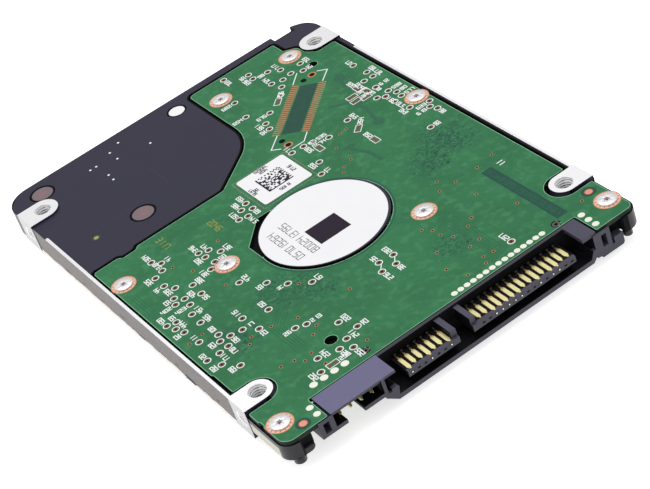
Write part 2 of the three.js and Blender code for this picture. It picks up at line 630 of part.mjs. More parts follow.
const hubProfile = [
  [1.0, HUB.top], [HUB.r, HUB.top], [HUB.r, HUB.seat], [HUB.flange, HUB.seat], [HUB.flange, HUB.web],
  [HUB.skirt[1], HUB.web], [HUB.skirt[1], 5.4], [HUB.skirt[0], 5.4],
  [HUB.skirt[0], HUB.web], [1.0, HUB.web],
];
const clampProfile = [
  [1.0, 1.5], [10.6, 1.5], [11.4, 1.75], [11.4, Z.platter[0] - 0.02], [10.3, Z.platter[0] - 0.02],
  [10.1, HUB.top - 0.05], [1.0, HUB.top - 0.05],
];

addPart('spindle_hub', turned(hubProfile, 24), MATERIALS.bareAluminium, rotor);
addPart('spindle_shaft', disc(0, 0, SHAFT_R, [HUB.web + SLIT, 5.4], 18), MATERIALS.steel, rotor);
const magnetRing = ring(CORE.r + 0.2, HUB.skirt[0] - FIT, [3.9, 5.35], 24);
addPart('rotor_magnet', magnetRing, MATERIALS.nickelMagnet, rotor);
addPart('platter', ring(PLATTER_BORE_R, PLATTER_R, Z.platter, 40), MATERIALS.mirrorPlatter, rotor);
addPart('disk_clamp', turned(clampProfile, 24), MATERIALS.bareAluminium, rotor);
addPart('clamp_screw', screw(2.2, [1.05, 1.47], 0.9, 3.1), MATERIALS.screwSteel, rotor);

// ---------------------------------------------------------------- head actuator
// Built with the arms along +X from the pivot; the group turns it to where the heads park.

const BARREL_R = 3.85;
const BEARING = { inner: 1.36, outer: 2.9 };
const COIL = { inner: 6.6, outer: 12.3, half: 16 };
const TAIL_R = 12.85;

function fixedAtPivot(name, solid) {
  addPart(name, solid, MATERIALS.steel).position.set(PIVOT.x, PIVOT.y, 0);
}

const shaft = disc(0, 0, 1.3, [Z.coverInside + FIT, PIVOT_SHAFT_TOP], 20);
fixedAtPivot('pivot_shaft', cut(shaft, disc(0, 0, 0.65, [0, 2.5], 12)));

function carriage() {
  const barrel = ring(BEARING.outer + FIT, BARREL_R, [0.95, 4.5], 20);
  const bore = disc(0, 0, BEARING.outer + FIT, [0, 6], 20);
  const arm = (heights) => cut(
    plate(outline([[0, -3.6], [20.6, -1.9], [20.6, 1.9], [0, 3.6]]), heights),
    bore, plate(outline([[8, -1.5, 0.6], [17, -0.9, 0.5], [17, 0.9, 0.5], [8, 1.5, 0.6]]), [0, 6]),
  );
  const fork = cut(
    plate(sector(2, TAIL_R, 180 - COIL.half - 5.5, 180 + COIL.half + 5.5), Z.coil),
    plate(sector(COIL.inner - FIT, TAIL_R + 1, 180 - COIL.half - 0.5, 180 + COIL.half + 0.5), [0, 6]),
    bore,
  );
  const latchTooth = plate(sector(TAIL_R - 0.4, 13.4, 199, 201.5), Z.coil);
  return join(barrel, arm(Z.lowerArm), arm(Z.upperArm), fork, latchTooth);
}

/** The thin load beam of one head, with the lift tab that rides on the ramp. */
function suspension(heights) {
  const upperEdge = [[34.2, 0.25], [31.9, 0.25], [31.7, 0.55], [30.2, 0.7], [20.3, 1.8], [15.5, 1.9]];
  const lowerEdge = upperEdge.map(([x, y]) => [x, -y]).reverse();
  return plate(outline([...lowerEdge, ...upperEdge]), heights);
}

function slider(heights) {
  return block([ARM_LENGTH - 0.6, ARM_LENGTH + 0.6], [-0.45, 0.45], heights);
}

addPart('pivot_bearing', ring(BEARING.inner, BEARING.outer, [0.9, 4.55], 20), MATERIALS.steel, actuator);
addPart('head_carriage', carriage(), MATERIALS.bareAluminium, actuator);
const coilTurns = cut(
  plate(sector(COIL.inner, COIL.outer, 180 - COIL.half, 180 + COIL.half), Z.coil),
  plate(sector(COIL.inner + 1.6, COIL.outer - 1.6, 180 - COIL.half * 0.5, 180 + COIL.half * 0.5), [0, 6]),
);
addPart('voice_coil', coilTurns, MATERIALS.copper, actuator);
addPart('lower_suspension', suspension([Z.lowerArm[1] + SLIT, 1.7]), MATERIALS.steel, actuator);
addPart('upper_suspension', suspension([3.08, Z.upperArm[0] - SLIT]), MATERIALS.steel, actuator);
addPart('lower_head_slider', slider([1.75, Z.platter[0] - 0.06]), MATERIALS.chipBlack, actuator);
addPart('upper_head_slider', slider([Z.platter[1] + 0.06, 3.03]), MATERIALS.chipBlack, actuator);

// ---------------------------------------------------------------- voice coil motor, ramp, latch

const YOKE_FAN = [6.0, 13.6, 117, 204];
const MAGNET_FAN = [6.4, 13.0, 126, 197];
const YOKE_POSTS = [[-30.3, 33.3], [-27.5, 14.0]];

function yoke(heights, postHeights) {
  const fan = plate(sector(...YOKE_FAN), heights, 5).translate([PIVOT.x, PIVOT.y, 0]);
  const ears = YOKE_POSTS.map(([x, y]) => disc(x, y, 1.5, heights, 12));
  const links = [
    plate(outline([[-30.3, 31.8], [-26.5, 31], [-26.5, 34.5], [-30.3, 34.8]]), heights),
    plate(outline([[-28.9, 14.4], [-26.6, 12.9], [-26.6, 17.6], [-29.4, 18.2]]), heights),
  ];
  const posts = YOKE_POSTS.map(([x, y]) => disc(x, y, 1.0, postHeights, 12));
  return join(fan, ...ears, ...links, ...posts);
}

function magnet(heights) {
  return plate(sector(...MAGNET_FAN), heights, 5).translate([PIVOT.x, PIVOT.y, 0]);
}

addPart('lower_yoke', yoke([0.65, 1.15], [0.66, 1.14]), MATERIALS.steel);
addPart('lower_magnet', magnet([1.15 + SLIT, 1.72]), MATERIALS.nickelMagnet);
addPart('upper_magnet', magnet([3.28, 4.05 - SLIT]), MATERIALS.nickelMagnet);
addPart('upper_yoke', yoke([4.05, 4.9], [1.15 + SLIT, 4.2]), MATERIALS.steel);

/** Load ramp: the lift tabs climb it as the heads leave the platter's edge. */
function loadRamp() {
  const low = 1.78;
  const arc = plate(sector(32.3, 34.7, -10, 3), [low, 3.0]);
  const tongue = arc.translate([PIVOT.x, PIVOT.y, 0]);
  const slotHeights = [Z.platter[0] - 0.14, Z.platter[1] + 0.14];
  const platterSlot = disc(SPINDLE.x, SPINDLE.y, PLATTER_R + 0.4, slotHeights, 40);
  const base = plate(rectangle([15.6, 21.5], [21.2, 26.4], 0.8), [low, Z.diskCeiling - SLIT]);
  return cut(join(tongue, base), platterSlot);
}

addPart('load_ramp', loadRamp(), MATERIALS.naturalPlastic);

const LATCH = { x: -31.6, y: 12.9, length: 6.6, pinR: 0.45, heights: [2.0, 3.0] };
latch.position.set(LATCH.x, LATCH.y, 0);

function latchLever() {
  const tip = LATCH.length;
  const lever = outline([
    [0.1, 0.9], [-1.0, 2.6], [-1.0, tip - 0.7], [-0.55, tip - 0.5], [-0.55, tip], [-1.75, tip],
    [-1.75, 2.5], [-1.1, 0.6],
  ]);
  const eye = disc(0, 0, 1.05, LATCH.heights, 12);
  return cut(join(plate(lever, LATCH.heights), eye), disc(0, 0, LATCH.pinR + 0.06, [0, 6], 12));
}

addPart('latch_lever', latchLever(), MATERIALS.naturalPlastic, latch);
const latchPin = disc(0, 0, LATCH.pinR, [1.2, Z.diskCeiling - SLIT], 12);
addPart('latch_pin', latchPin, MATERIALS.steel).position.set(LATCH.x, LATCH.y, 0);

const CRASH_STOPS = { outer_crash_stop: [-26.4, 16.4], inner_crash_stop: [-21.9, 36.2] };
Object.entries(CRASH_STOPS).forEach(([name, [x, y]]) => {
  addPart(name, disc(x, y, 0.8, [1.9, 3.1], 16), MATERIALS.rubberSeal);
});

// ---------------------------------------------------------------- flex cable and filters

/** Ribbon of the head wiring, standing on edge in a loose loop from the actuator to its connector. */
function flexCable() {
  const route = new THREE.CatmullRomCurve3([
    [-16.6, 26.9], [-14.6, 30.6], [-9.5, 34.2], [-3.0, 34.6], [3.0, 36.2], [7.0, 39.8], [10.6, 40.6],
  ].map(([x, y]) => new THREE.Vector3(x, y, 0)));
  const steps = 16;
  const halfThickness = 0.08;
  const side = (sign) => Array.from({ length: steps + 1 }, (_, i) => {
    const point = route.getPoint(i / steps);
    const ahead = route.getTangent(i / steps);
    return [point.x - ahead.y * halfThickness * sign, point.y + ahead.x * halfThickness * sign];
  });
  return plate(outline([...side(-1), ...side(1).reverse()]), [1.5, 3.6]);
}

addPart('flex_cable', flexCable(), MATERIALS.amberFlex);

const filterPouch = plate(rectangle([-3.4, 3.4], [-1.1, 1.1], 0.5), [1.0, 3.8]).rotate([0, 0, -48]);
addPart('recirculation_filter', filterPouch, MATERIALS.filterCloth).position.set(27.2, 16.8, 0);
addPart('breather_filter', disc(BREATHER.x, BREATHER.y, 2.3, [0.62, 1.9], 24), MATERIALS.filterCloth);

export default drive;
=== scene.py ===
"""Looks of a 2.5 inch hard disk drive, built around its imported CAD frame.

Blender works in metres. Lengths in this script are millimetres, and MM turns them into metres when a
mesh or a texture is made. +X across the width, +Y away from the connector, +Z out of the board side.
"""

import math
import random

import bmesh
import bpy
from mathutils import Matrix, Vector


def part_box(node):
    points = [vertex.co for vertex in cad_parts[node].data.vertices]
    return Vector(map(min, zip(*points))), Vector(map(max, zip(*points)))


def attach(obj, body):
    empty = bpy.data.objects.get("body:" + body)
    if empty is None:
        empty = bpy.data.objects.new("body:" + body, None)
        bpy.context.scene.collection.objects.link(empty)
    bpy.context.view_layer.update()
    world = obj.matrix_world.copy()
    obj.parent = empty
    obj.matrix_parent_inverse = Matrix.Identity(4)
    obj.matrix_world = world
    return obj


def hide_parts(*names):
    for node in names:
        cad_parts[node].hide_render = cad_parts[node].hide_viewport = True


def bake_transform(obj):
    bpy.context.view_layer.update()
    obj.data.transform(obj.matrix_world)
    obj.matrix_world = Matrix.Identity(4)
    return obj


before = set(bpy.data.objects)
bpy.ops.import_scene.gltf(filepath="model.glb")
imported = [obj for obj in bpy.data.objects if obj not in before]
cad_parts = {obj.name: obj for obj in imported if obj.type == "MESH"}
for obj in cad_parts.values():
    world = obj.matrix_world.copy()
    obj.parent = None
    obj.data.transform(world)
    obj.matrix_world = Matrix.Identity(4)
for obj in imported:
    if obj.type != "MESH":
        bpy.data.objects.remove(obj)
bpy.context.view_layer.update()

MM = 0.001
ROOT = "housing"


# ------------------------------------------------------------------ places, from the frame

def box_mm(node):
    """Lowest and highest corner of a CAD node, in millimetres."""
    low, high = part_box(node)
    return low / MM, high / MM


def centre_of(node):
    low, high = box_mm(node)
    return (low + high) / 2


SPINDLE = centre_of("platter")
PIVOT = centre_of("pivot_shaft")
BOARD_TOP = box_mm("pcb")[1].z
DECK = BOARD_TOP
PAD = box_mm("base_casting")[1].z
LIFT = 0.012                       # how far ink and copper stand above what they lie on
SINK = 0.001                       # how far they reach into it


# ------------------------------------------------------------------ materials

def screen(red, green, blue):
    """A linear colour from screen values of 0 to 255."""
    def linear(c):
        return ((c / 255 + 0.055) / 1.055) ** 2.4 if c > 10 else c / 255 / 12.92
    return (linear(red), linear(green), linear(blue), 1.0)


def scaled(color, factor):
    return tuple(min(c * factor, 1.0) for c in color[:3]) + (1.0,)


class Shader:
    """A new material, with short ways to add nodes to it."""

    def __init__(self, name):
        self.material = bpy.data.materials.new(name)
        self.material.use_nodes = True
        self.tree = self.material.node_tree
        self.principled = self.tree.nodes["Principled BSDF"]
        self.place = self.node("ShaderNodeTexCoord").outputs["Object"]

    def node(self, kind, inputs=None, **settings):
        made = self.tree.nodes.new(kind)
        for key, value in settings.items():
            setattr(made, key, value)
        for socket, value in (inputs or {}).items():
            self.put(made, socket, value)
        return made

    def put(self, node, socket, value):
        if isinstance(value, bpy.types.NodeSocket):
            self.tree.links.new(value, node.inputs[socket])
        else:
            node.inputs[socket].default_value = value

    def finish(self, color, rough, metal=0.0, specular=0.5):
        """Sets how the surface takes light, and gives the material."""
        values = {"Base Color": color, "Roughness": rough, "Metallic": metal,
                  "Specular IOR Level": specular}
        for socket, value in values.items():
            self.put(self.principled, socket, value)
        return self.material

    def from_point(self, operation, point):
        """The place on the object as its distance from a point, or less that point, in metres."""
        node = self.node("ShaderNodeVectorMath", {0: self.place, 1: tuple(Vector(point) * MM)},
                         operation=operation)
        return node.outputs

    def noise(self, size, stretch=(1, 1, 1), detail=3.0):
        """Noise with blobs of about `size` millimetres, drawn out where `stretch` is small."""
        mapped = self.node("ShaderNodeMapping", {"Vector": self.place, "Scale": stretch})
        texture = self.node("ShaderNodeTexNoise", {
            "Vector": mapped.outputs[0], "Scale": 1 / (size * MM), "Detail": detail,
        })
        return texture.outputs["Fac"]

    def rings(self, centre, per_mm, distortion):
        """Waves in rings about a vertical axis through a centre."""
        texture = self.node("ShaderNodeTexWave", {
            "Vector": self.from_point("SUBTRACT", centre)[0], "Scale": per_mm / MM,
            "Distortion": distortion,
        }, wave_type="RINGS", rings_direction="Z")
        return texture.outputs["Fac"]

    def mapped(self, value, low, high, start=0.3, end=0.7):
        """Takes a value that runs from `start` to `end` to one that runs from `low` to `high`."""
        node = self.node("ShaderNodeMapRange", {
            "Value": value, "From Min": start, "From Max": end, "To Min": low, "To Max": high,
        })
        return node.outputs[0]

    def mix(self, factor, first, second):
        node = self.node("ShaderNodeMix", data_type="RGBA")
        for socket, value in ((0, factor), (6, first), (7, second)):
            self.put(node, socket, value)
        return node.outputs[2]

    def over(self, color, other, value, start, end, most=1.0):
        """A colour that gives way to another, by up to `most`, as a value goes from `start` to `end`."""
        return self.mix(self.mapped(value, 0.0, most, start, end), color, other)

    def near(self, point, radius, soft):
        """1 within `radius` millimetres of a point, falling to 0 over `soft` millimetres."""
        distance = self.from_point("DISTANCE", point)["Value"]
        return self.mapped(distance, 1.0, 0.0, (radius - soft) * MM, (radius + soft) * MM)

    def beyond(self, axis, value, soft=0.05):
        """0 below a place on an axis, in millimetres, and 1 above it."""
        parts = self.node("ShaderNodeSeparateXYZ", {0: self.place})
        return self.mapped(parts.outputs[axis], 0.0, 1.0, (value - soft) * MM, (value + soft) * MM)

    def both(self, first, second):
        return self.node("ShaderNodeMath", {0: first, 1: second}, operation="MULTIPLY").outputs[0]

    def bump(self, height, depth):
        node = self.node("ShaderNodeBump", {"Height": height, "Strength": 1.0, "Distance": depth * MM})
        self.put(self.principled, "Normal", node.outputs[0])


BRUSHED_Y = (6.0, 0.15, 6.0)       # grain drawn out along Y
BRUSHED_X = (0.15, 6.0, 6.0)
LOOK = {}


def surface(name, color, rough, metal=0.0, tone=0.12, patch=4.0, grain=0.2, depth=0.004,
            stretch=(1, 1, 1), specular=0.5, coat=0.0):
    """A look whose colour and roughness drift over patches, with a fine grain in relief."""
    shader = Shader(name)
    base = screen(*color)
    drift = shader.mix(shader.noise(patch, stretch), scaled(base, 1 - tone), scaled(base, 1 + tone))
    fine = shader.noise(grain, stretch, detail=4.0)
    shader.put(shader.principled, "Coat Weight", coat)
    shader.bump(fine, depth)
    LOOK[name] = shader.finish(drift, shader.mapped(fine, rough - 0.06, rough + 0.06), metal, specular)


HUB_OPENING = (-0.1, -9.3)
DENSE_AREAS = [((27.4, -5.5), 3.6), ((24.5, -8.5), 3.6), ((20.8, -11.5), 3.4), ((28.5, -10.5), 3.0),
               ((-14.5, -18.0), 5.0), ((-10.0, -23.0), 3.0), ((-26.5, -22.0), 4.0), ((10.0, -33.0), 3.0)]


def solder_mask():
    """Green lacquer over copper, with darker and lighter areas where the copper ends."""
    shader = Shader("solder_mask")
    green = screen(44, 118, 74)
    dark = screen(26, 84, 66)
    weave = shader.node("ShaderNodeTexWave", {
        "Vector": shader.place, "Scale": 0.32 / MM, "Distortion": 1.5, "Detail": 1.0, "Detail Scale": 2.0,
    }, bands_direction="DIAGONAL")
    specks = shader.noise(0.55, detail=2.0)
    patches = shader.noise(9.0, detail=6.0)
    color = shader.over(scaled(green, 0.92), scaled(green, 1.08), patches, 0.4, 0.6)
    color = shader.over(color, screen(66, 138, 92), shader.noise(1.6), 0.5, 0.68, most=0.7)
    color = shader.over(color, scaled(green, 0.75), weave.outputs["Fac"], 0.0, 1.0, most=0.1)
    color = shader.over(color, dark, specks, 0.64, 0.74, most=0.5)
    for (x, y), radius in DENSE_AREAS:
        dense = shader.both(shader.near((x, y, BOARD_TOP), radius, 2.0),
                            shader.mapped(specks, 0.0, 0.62, 0.46, 0.56))
        color = shader.mix(dense, color, dark)
    around_hub = shader.near((*HUB_OPENING, BOARD_TOP), 12.5, 0.12)
    color = shader.mix(shader.both(around_hub, 0.7), color, dark)
    shader.bump(shader.noise(0.35), 0.004)
    return shader.finish(color, shader.mapped(specks, 0.36, 0.46), specular=0.2)


def milled_side():
    """The casting's milled sides: scratched grey, pale under a line of dirt, and pale beside the connector
    with a painted reflection.
    """
    shader = Shader("milled_side")
    patches = shader.noise(1.5, BRUSHED_Y, detail=5.0)
    fine = shader.noise(0.22, (3.0, 0.5, 1.6), detail=5.0)
    dirt = shader.noise(0.8, (1.0, 0.35, 1.0), detail=4.0)
    grey = shader.mix(patches, screen(84, 79, 78), screen(120, 114, 113))
    grey = shader.over(grey, screen(74, 68, 70), fine, 0.53, 0.72, most=0.7)
    pale = shader.mix(patches, screen(214, 210, 202), screen(236, 233, 226))
    # Beside the connector the side is pale beige: a painted reflection of the white surroundings, dark above
    # 4.85 mm.
    horn_reflection = shader.mix(patches, screen(176, 173, 160), screen(196, 193, 180))
    horn_reflection = shader.mix(shader.beyond("Z", 4.85, 0.12), horn_reflection, screen(58, 54, 62))
    above = shader.mix(shader.beyond("Y", -38.4), horn_reflection, grey)
    color = shader.mix(shader.beyond("Z", 1.95, 0.06), pale, above)
    line = shader.both(shader.beyond("Z", 1.8, 0.08), shader.mapped(dirt, 0.0, 1.0, 0.47, 0.56))
    below = shader.mapped(shader.beyond("Z", 2.15, 0.1), 1.0, 0.0, 0.0, 1.0)
    color = shader.mix(shader.both(line, below), color, screen(60, 54, 54))
    shader.bump(fine, 0.008)
    return shader.finish(color, shader.mapped(fine, 0.4, 0.55), metal=0.55)


def seal_rubber(name, centre):
    """Grey-brown sealing compound, reddish in the middle."""
    shader = Shader(name)
    grain = shader.noise(0.4, detail=4.0)
    grey = shader.mix(grain, screen(114, 99, 106), screen(132, 115, 120))
    color = shader.mix(shader.near(centre, 0.4, 0.9), grey, screen(152, 104, 108))
    shader.bump(grain, 0.01)
    return shader.finish(color, shader.mapped(grain, 0.55, 0.75))


def mirror_disk():
    """The platter: a polished mirror with faint rings from its manufacture."""
    shader = Shader("mirror_disk")
    rings = shader.rings(SPINDLE, 0.25, 0.4)
    color = shader.mix(rings, screen(216, 220, 226), screen(219, 223, 228))
    return shader.finish(color, shader.mapped(rings, 0.04, 0.05, 0.0, 1.0), metal=1.0)


def wound_wire(name, centre, pitch):
    """Enamelled copper wire, wound round and round a centre."""
    shader = Shader(name)
    turns = shader.rings(centre, 0.31 / pitch, 0.2)
    color = shader.mix(turns, screen(120, 60, 28), screen(205, 122, 66))
    shader.bump(turns, 0.03)
    return shader.finish(color, shader.mapped(shader.noise(0.3), 0.3, 0.45), metal=0.85)


def blade_gold():
    """Gold plating, darker and browner towards the back of the contacts."""
    shader = Shader("blade_gold")
    fine = shader.noise(0.12, BRUSHED_Y, detail=4.0)
    bright = shader.mix(shader.noise(0.8, BRUSHED_Y), screen(236, 222, 150), screen(252, 242, 186))
    color = shader.mix(shader.beyond("Y", -46.6, 0.7), bright, screen(120, 84, 34))
    shader.bump(fine, 0.0008)
    return shader.finish(color, shader.mapped(fine, 0.24, 0.36), metal=0.5)


# Casting
surface("coat", (42, 39, 60), 0.42, tone=0.1, patch=9, grain=0.35, depth=0.003, specular=0.25)
surface("coat_edge", (54, 51, 72), 0.42, tone=0.1, specular=0.25)
surface("arm_coat", (29, 27, 32), 0.32, patch=2, specular=0.3)
surface("machined", (250, 250, 252), 0.42, 0.8, tone=0.02, grain=0.12, stretch=BRUSHED_X, depth=0.002)
surface("rail", (250, 250, 252), 0.4, 0.8, tone=0.02, grain=0.12, stretch=BRUSHED_Y, depth=0.002)
surface("side_pad", (196, 194, 196), 0.5, 0.5, tone=0.04, patch=2, stretch=BRUSHED_Y)
surface("thread", (254, 254, 254), 0.5, 0.1, tone=0.03, grain=0.1)
# Painted shade for the roots of cut threads.
surface("groove_shade", (92, 84, 86), 0.5, 0.3, tone=0.2, grain=0.1)
# Near-black painted shade, for holes, pockets and gaps that light doesn't reach.
surface("bore", (10, 9, 10), 0.7, tone=0.2, specular=0.1)
surface("nick", (34, 30, 32), 0.7, tone=0.3, patch=0.4, depth=0.02, specular=0.2)
surface("rubber", (30, 30, 32), 0.85, tone=0.15, grain=0.25, depth=0.01)
surface("ink_halo", (58, 68, 64), 0.5, tone=0.2, patch=0.3, specular=0.2)
surface("ink_dot", (150, 168, 84), 0.5, tone=0.25, patch=0.4)

# Circuit board
surface("track", (38, 108, 70), 0.42, tone=0.1, patch=1, specular=0.2)
surface("broad_track", (42, 103, 74), 0.42, patch=0.8, specular=0.2)
surface("mask_dark", (30, 80, 70), 0.42, specular=0.2)
surface("mask_teal", (30, 78, 64), 0.42, tone=0.2, patch=1.2, specular=0.2)
# Near-black painted shade on the board's cut sides and hole walls.
surface("board_edge_shade", (18, 32, 26), 0.6, tone=0.25, patch=0.8, specular=0.2)
# A painted highlight along the board's upper edges.
surface("edge_light", (136, 194, 154), 0.5, tone=0.1, patch=0.8, specular=0.3)
surface("ink", (252, 253, 252), 0.55, tone=0.03, patch=0.6, grain=0.1)
surface("faint_ink", (150, 160, 80), 0.5, tone=0.25, patch=0.4, specular=0.2)
surface("solder", (246, 247, 234), 0.42, 0.2, tone=0.06, patch=0.5, depth=0.01)
surface("copper", (248, 204, 174), 0.42, 0.25, tone=0.06, patch=0.8)
surface("salmon", (232, 158, 128), 0.42, 0.25, tone=0.08, patch=0.6)
surface("pale_copper", (198, 134, 94), 0.45, 0.2, tone=0.15, patch=0.5)
surface("dull_copper", (128, 66, 54), 0.5, 0.2, tone=0.25, patch=0.4)
surface("via", (150, 70, 50), 0.5, 0.2, tone=0.4, patch=0.5)
surface("recess", (96, 88, 92), 0.5, 0.4, tone=0.3, patch=0.4)
surface("chip", (36, 36, 40), 0.55, tone=0.1, grain=0.15, depth=0.006)

# Labels
surface("label", (250, 250, 252), 0.5, tone=0.02, patch=3, grain=0.12, depth=0.002)
surface("label_grey", (96, 92, 102), 0.5, tone=0.1, patch=0.6)
surface("print", (44, 34, 50), 0.5, patch=0.8, specular=0.1)
surface("brown_print", (150, 132, 120), 0.5, tone=0.1)

# Connector
surface("plastic", (58, 57, 68), 0.46, patch=1.6, grain=0.15, depth=0.005, specular=0.3)
# Lit and shaded copies of the housing's one plastic: painted light on its upper faces, painted shade in its
# sockets.
surface("plastic_lit_top", (104, 101, 136), 0.5, tone=0.07, patch=1.6, depth=0.006)
surface("plastic_half_lit", (76, 73, 92), 0.5, tone=0.1, patch=1.6, depth=0.006, specular=0.3)
surface("plastic_shade", (15, 14, 18), 0.55, tone=0.2, patch=2, specular=0.1)
surface("post", (16, 15, 19), 0.28, tone=0.2, patch=0.5)
surface("gold", (238, 224, 158), 0.3, 0.5, tone=0.04, patch=0.8, grain=0.12, stretch=BRUSHED_Y, depth=0.0008)

# Cover, screws and the sealed inside
surface("steel", (240, 236, 238), 0.38, 0.7, tone=0.05, patch=1.4, grain=0.3, depth=0.0006)
surface("grey_steel", (158, 160, 165), 0.3, 1.0, tone=0.08, grain=0.15)
surface("cover", (196, 199, 203), 0.34, 0.95, tone=0.06, patch=6, grain=0.12, stretch=BRUSHED_Y, depth=0.002)
surface("aluminium", (192, 196, 201), 0.33, 0.95, tone=0.05, grain=0.12, depth=0.003)
surface("nickel", (186, 188, 192), 0.2, 1.0, tone=0.05, patch=2, depth=0.002)
surface("natural", (222, 212, 178), 0.45, tone=0.06, patch=2)
surface("cloth", (236, 236, 230), 0.95, tone=0.07, patch=0.4, grain=0.1, depth=0.04)
surface("flex", (186, 122, 44), 0.35, patch=1.2, depth=0.003, coat=0.3)

LOOK.update({"side": milled_side(), "mask": solder_mask(), "blade": blade_gold(), "disk": mirror_disk()})


# ------------------------------------------------------------------ mesh building

SHARP = math.radians(38)
TOUCHING, SAME_CORNER = 1e-7, 2e-6       # metres, in a mesh of this script and in a CAD node's
STROKE_LEVELS, STROKE_STEP = 7, 0.0008   # the heights that lines take in turn

def circle(x, y, radius, count=24):
    steps = [math.tau * i / count for i in range(count)]
    return [(x + radius * math.cos(a), y + radius * math.sin(a)) for a in steps]


def inset(outline, distance):
    """A counter-clockwise convex outline moved inwards."""
    moved = []
    for i, corner in enumerate(outline):
        here = Vector(corner)
        before = (here - Vector(outline[i - 1])).normalized()
        after = (Vector(outline[(i + 1) % len(outline)]) - here).normalized()
        normal = Vector((-before.y - after.y, before.x + after.x))
        moved.append(tuple(here + normal * (distance / (1 + before.dot(after)))))
    return moved


class Solids:
    """Closed bodies, in millimetres, that together make one piece. Flat marks lie on the height `base`."""

    def __init__(self, base=0.0):
        self.base = base
        self.verts = []
        self.faces = []
        self.looks = []
        self.strokes = 0

    def skin(self, rows, capped=True):
        """Joins rows of equally many points, with a cap at both ends or round to the first row."""
        start, total, count = len(self.verts), len(rows), len(rows[0])
        faces = []
        for row in range(total - 1 if capped else total):
            a, b = row * count, (row + 1) % total * count
            faces += [[a + i, a + (i + 1) % count, b + (i + 1) % count, b + i] for i in range(count)]
        if capped:
            faces += [list(reversed(range(count))), list(range((total - 1) * count, total * count))]
        self.verts += [point for row in rows for point in row]
        self.faces += [[start + i for i in face] for face in faces]
        self.looks += [0] * len(faces)
        return self

    def loft(self, levels):
        """Joins outlines of equal length, each [(x, y), ...] with its height, and closes both ends."""
        return self.skin([[(x, y, z) for x, y in outline] for outline, z in levels])

    def prism(self, outline, low, high, chamfer=0.0):
        levels = [(outline, low), (outline, high)]
        if chamfer:
            levels = [(outline, low), (outline, high - chamfer), (inset(outline, chamfer), high)]
        return self.loft(levels)

    def disc(self, x, y, radius, low, high, count=24, chamfer=0.0):
        return self.prism(circle(x, y, radius, count), low, high, chamfer)

    def block(self, x0, x1, y0, y1, low, high, chamfer=0.0):
        return self.prism([(x0, y0), (x1, y0), (x1, y1), (x0, y1)], low, high, chamfer)

    def turned(self, profile, centre=(0, 0), count=48, lobes=0):
        """Turns [radius, height, wave] points about Z; wave makes `lobes` waves of that depth."""
        turns = [math.tau * i / count for i in range(count)]
        rows = []
        for radius, height, *wave in profile:
            reach = [radius + sum(wave) * math.cos(lobes * turn) for turn in turns]
            rows.append([(centre[0] + r * math.cos(turn), centre[1] + r * math.sin(turn), height)
                         for r, turn in zip(reach, turns)])
        return self.skin(rows, capped=False)

    def dot(self, x, y, radius, count, rise=LIFT):
        return self.disc(x, y, radius, self.base, self.base + rise, count)

    def band(self, x, y, inner, outer, count, rise=LIFT):
        low, high = self.base, self.base + rise
        return self.turned([(inner, low), (outer, low), (outer, high), (inner, high)], (x, y), count)

    def strip(self, x0, x1, y0, y1, rise=LIFT):
        return self.block(x0, x1, y0, y1, self.base, self.base + rise)

    def lines(self, points, width, rise=LIFT):
        """Flat lines with square ends, each a hair higher than the last so that none coincide."""
        for start, end in zip(points, points[1:]):
            self.strokes = (self.strokes + 1) % STROKE_LEVELS
            a, b = Vector(start), Vector(end)
            along = (b - a).normalized() * (width / 2)
            side = Vector((-along.y, along.x))
            corners = [a - along - side, b + along - side, b + along + side, a - along + side]
            high = self.base + rise + self.strokes * STROKE_STEP
            self.prism([tuple(c) for c in corners], self.base, high)
        return self


def finish_mesh(mesh):
    """Smooth shading that breaks at the sharp edges."""
    bm = bmesh.new()
    bm.from_mesh(mesh)
    bmesh.ops.remove_doubles(bm, verts=bm.verts, dist=TOUCHING)
    bmesh.ops.dissolve_degenerate(bm, dist=TOUCHING, edges=bm.edges)
    bmesh.ops.recalc_face_normals(bm, faces=bm.faces)
    for face in bm.faces:
        face.smooth = True
    for edge in bm.edges:
        edge.smooth = edge.is_manifold and edge.calc_face_angle(0.0) < SHARP
    bm.to_mesh(mesh)
    bm.free()


def place(name, mesh, looks, body=ROOT, replaces=()):
    """Adds a mesh in metres to the scene as a piece that rides on a CAD body, if one is given.

    `looks` is one look or a list of them, each a name from LOOK or a material.
    """
    piece = bpy.data.objects.new(name, mesh)
    bpy.context.scene.collection.objects.link(piece)
    for look in looks if isinstance(looks, list) else [looks]:
        mesh.materials.append(LOOK.get(look, look))
    weighted = piece.modifiers.new("even_shading", "WEIGHTED_NORMAL")
    weighted.keep_sharp = True
    if replaces:
        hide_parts(*replaces)
    if body:
        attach(piece, body)
    return piece


def piece_of(name, solids, looks, body=ROOT, replaces=()):
    mesh = bpy.data.meshes.new(name)
    mesh.from_pydata([tuple(c * MM for c in v) for v in solids.verts], [], solids.faces)
    mesh.polygons.foreach_set("material_index", solids.looks)
    finish_mesh(mesh)
    return place(name, mesh, looks, body, replaces)


def cad_mesh(node):
    """A copy of a CAD node's mesh, with its flat areas made whole faces."""
    bm = bmesh.new()
    bm.from_mesh(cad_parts[node].data)
    bmesh.ops.remove_doubles(bm, verts=bm.verts, dist=SAME_CORNER)
    bmesh.ops.dissolve_limit(bm, angle_limit=math.radians(1.0), verts=bm.verts, edges=bm.edges)
    return bm


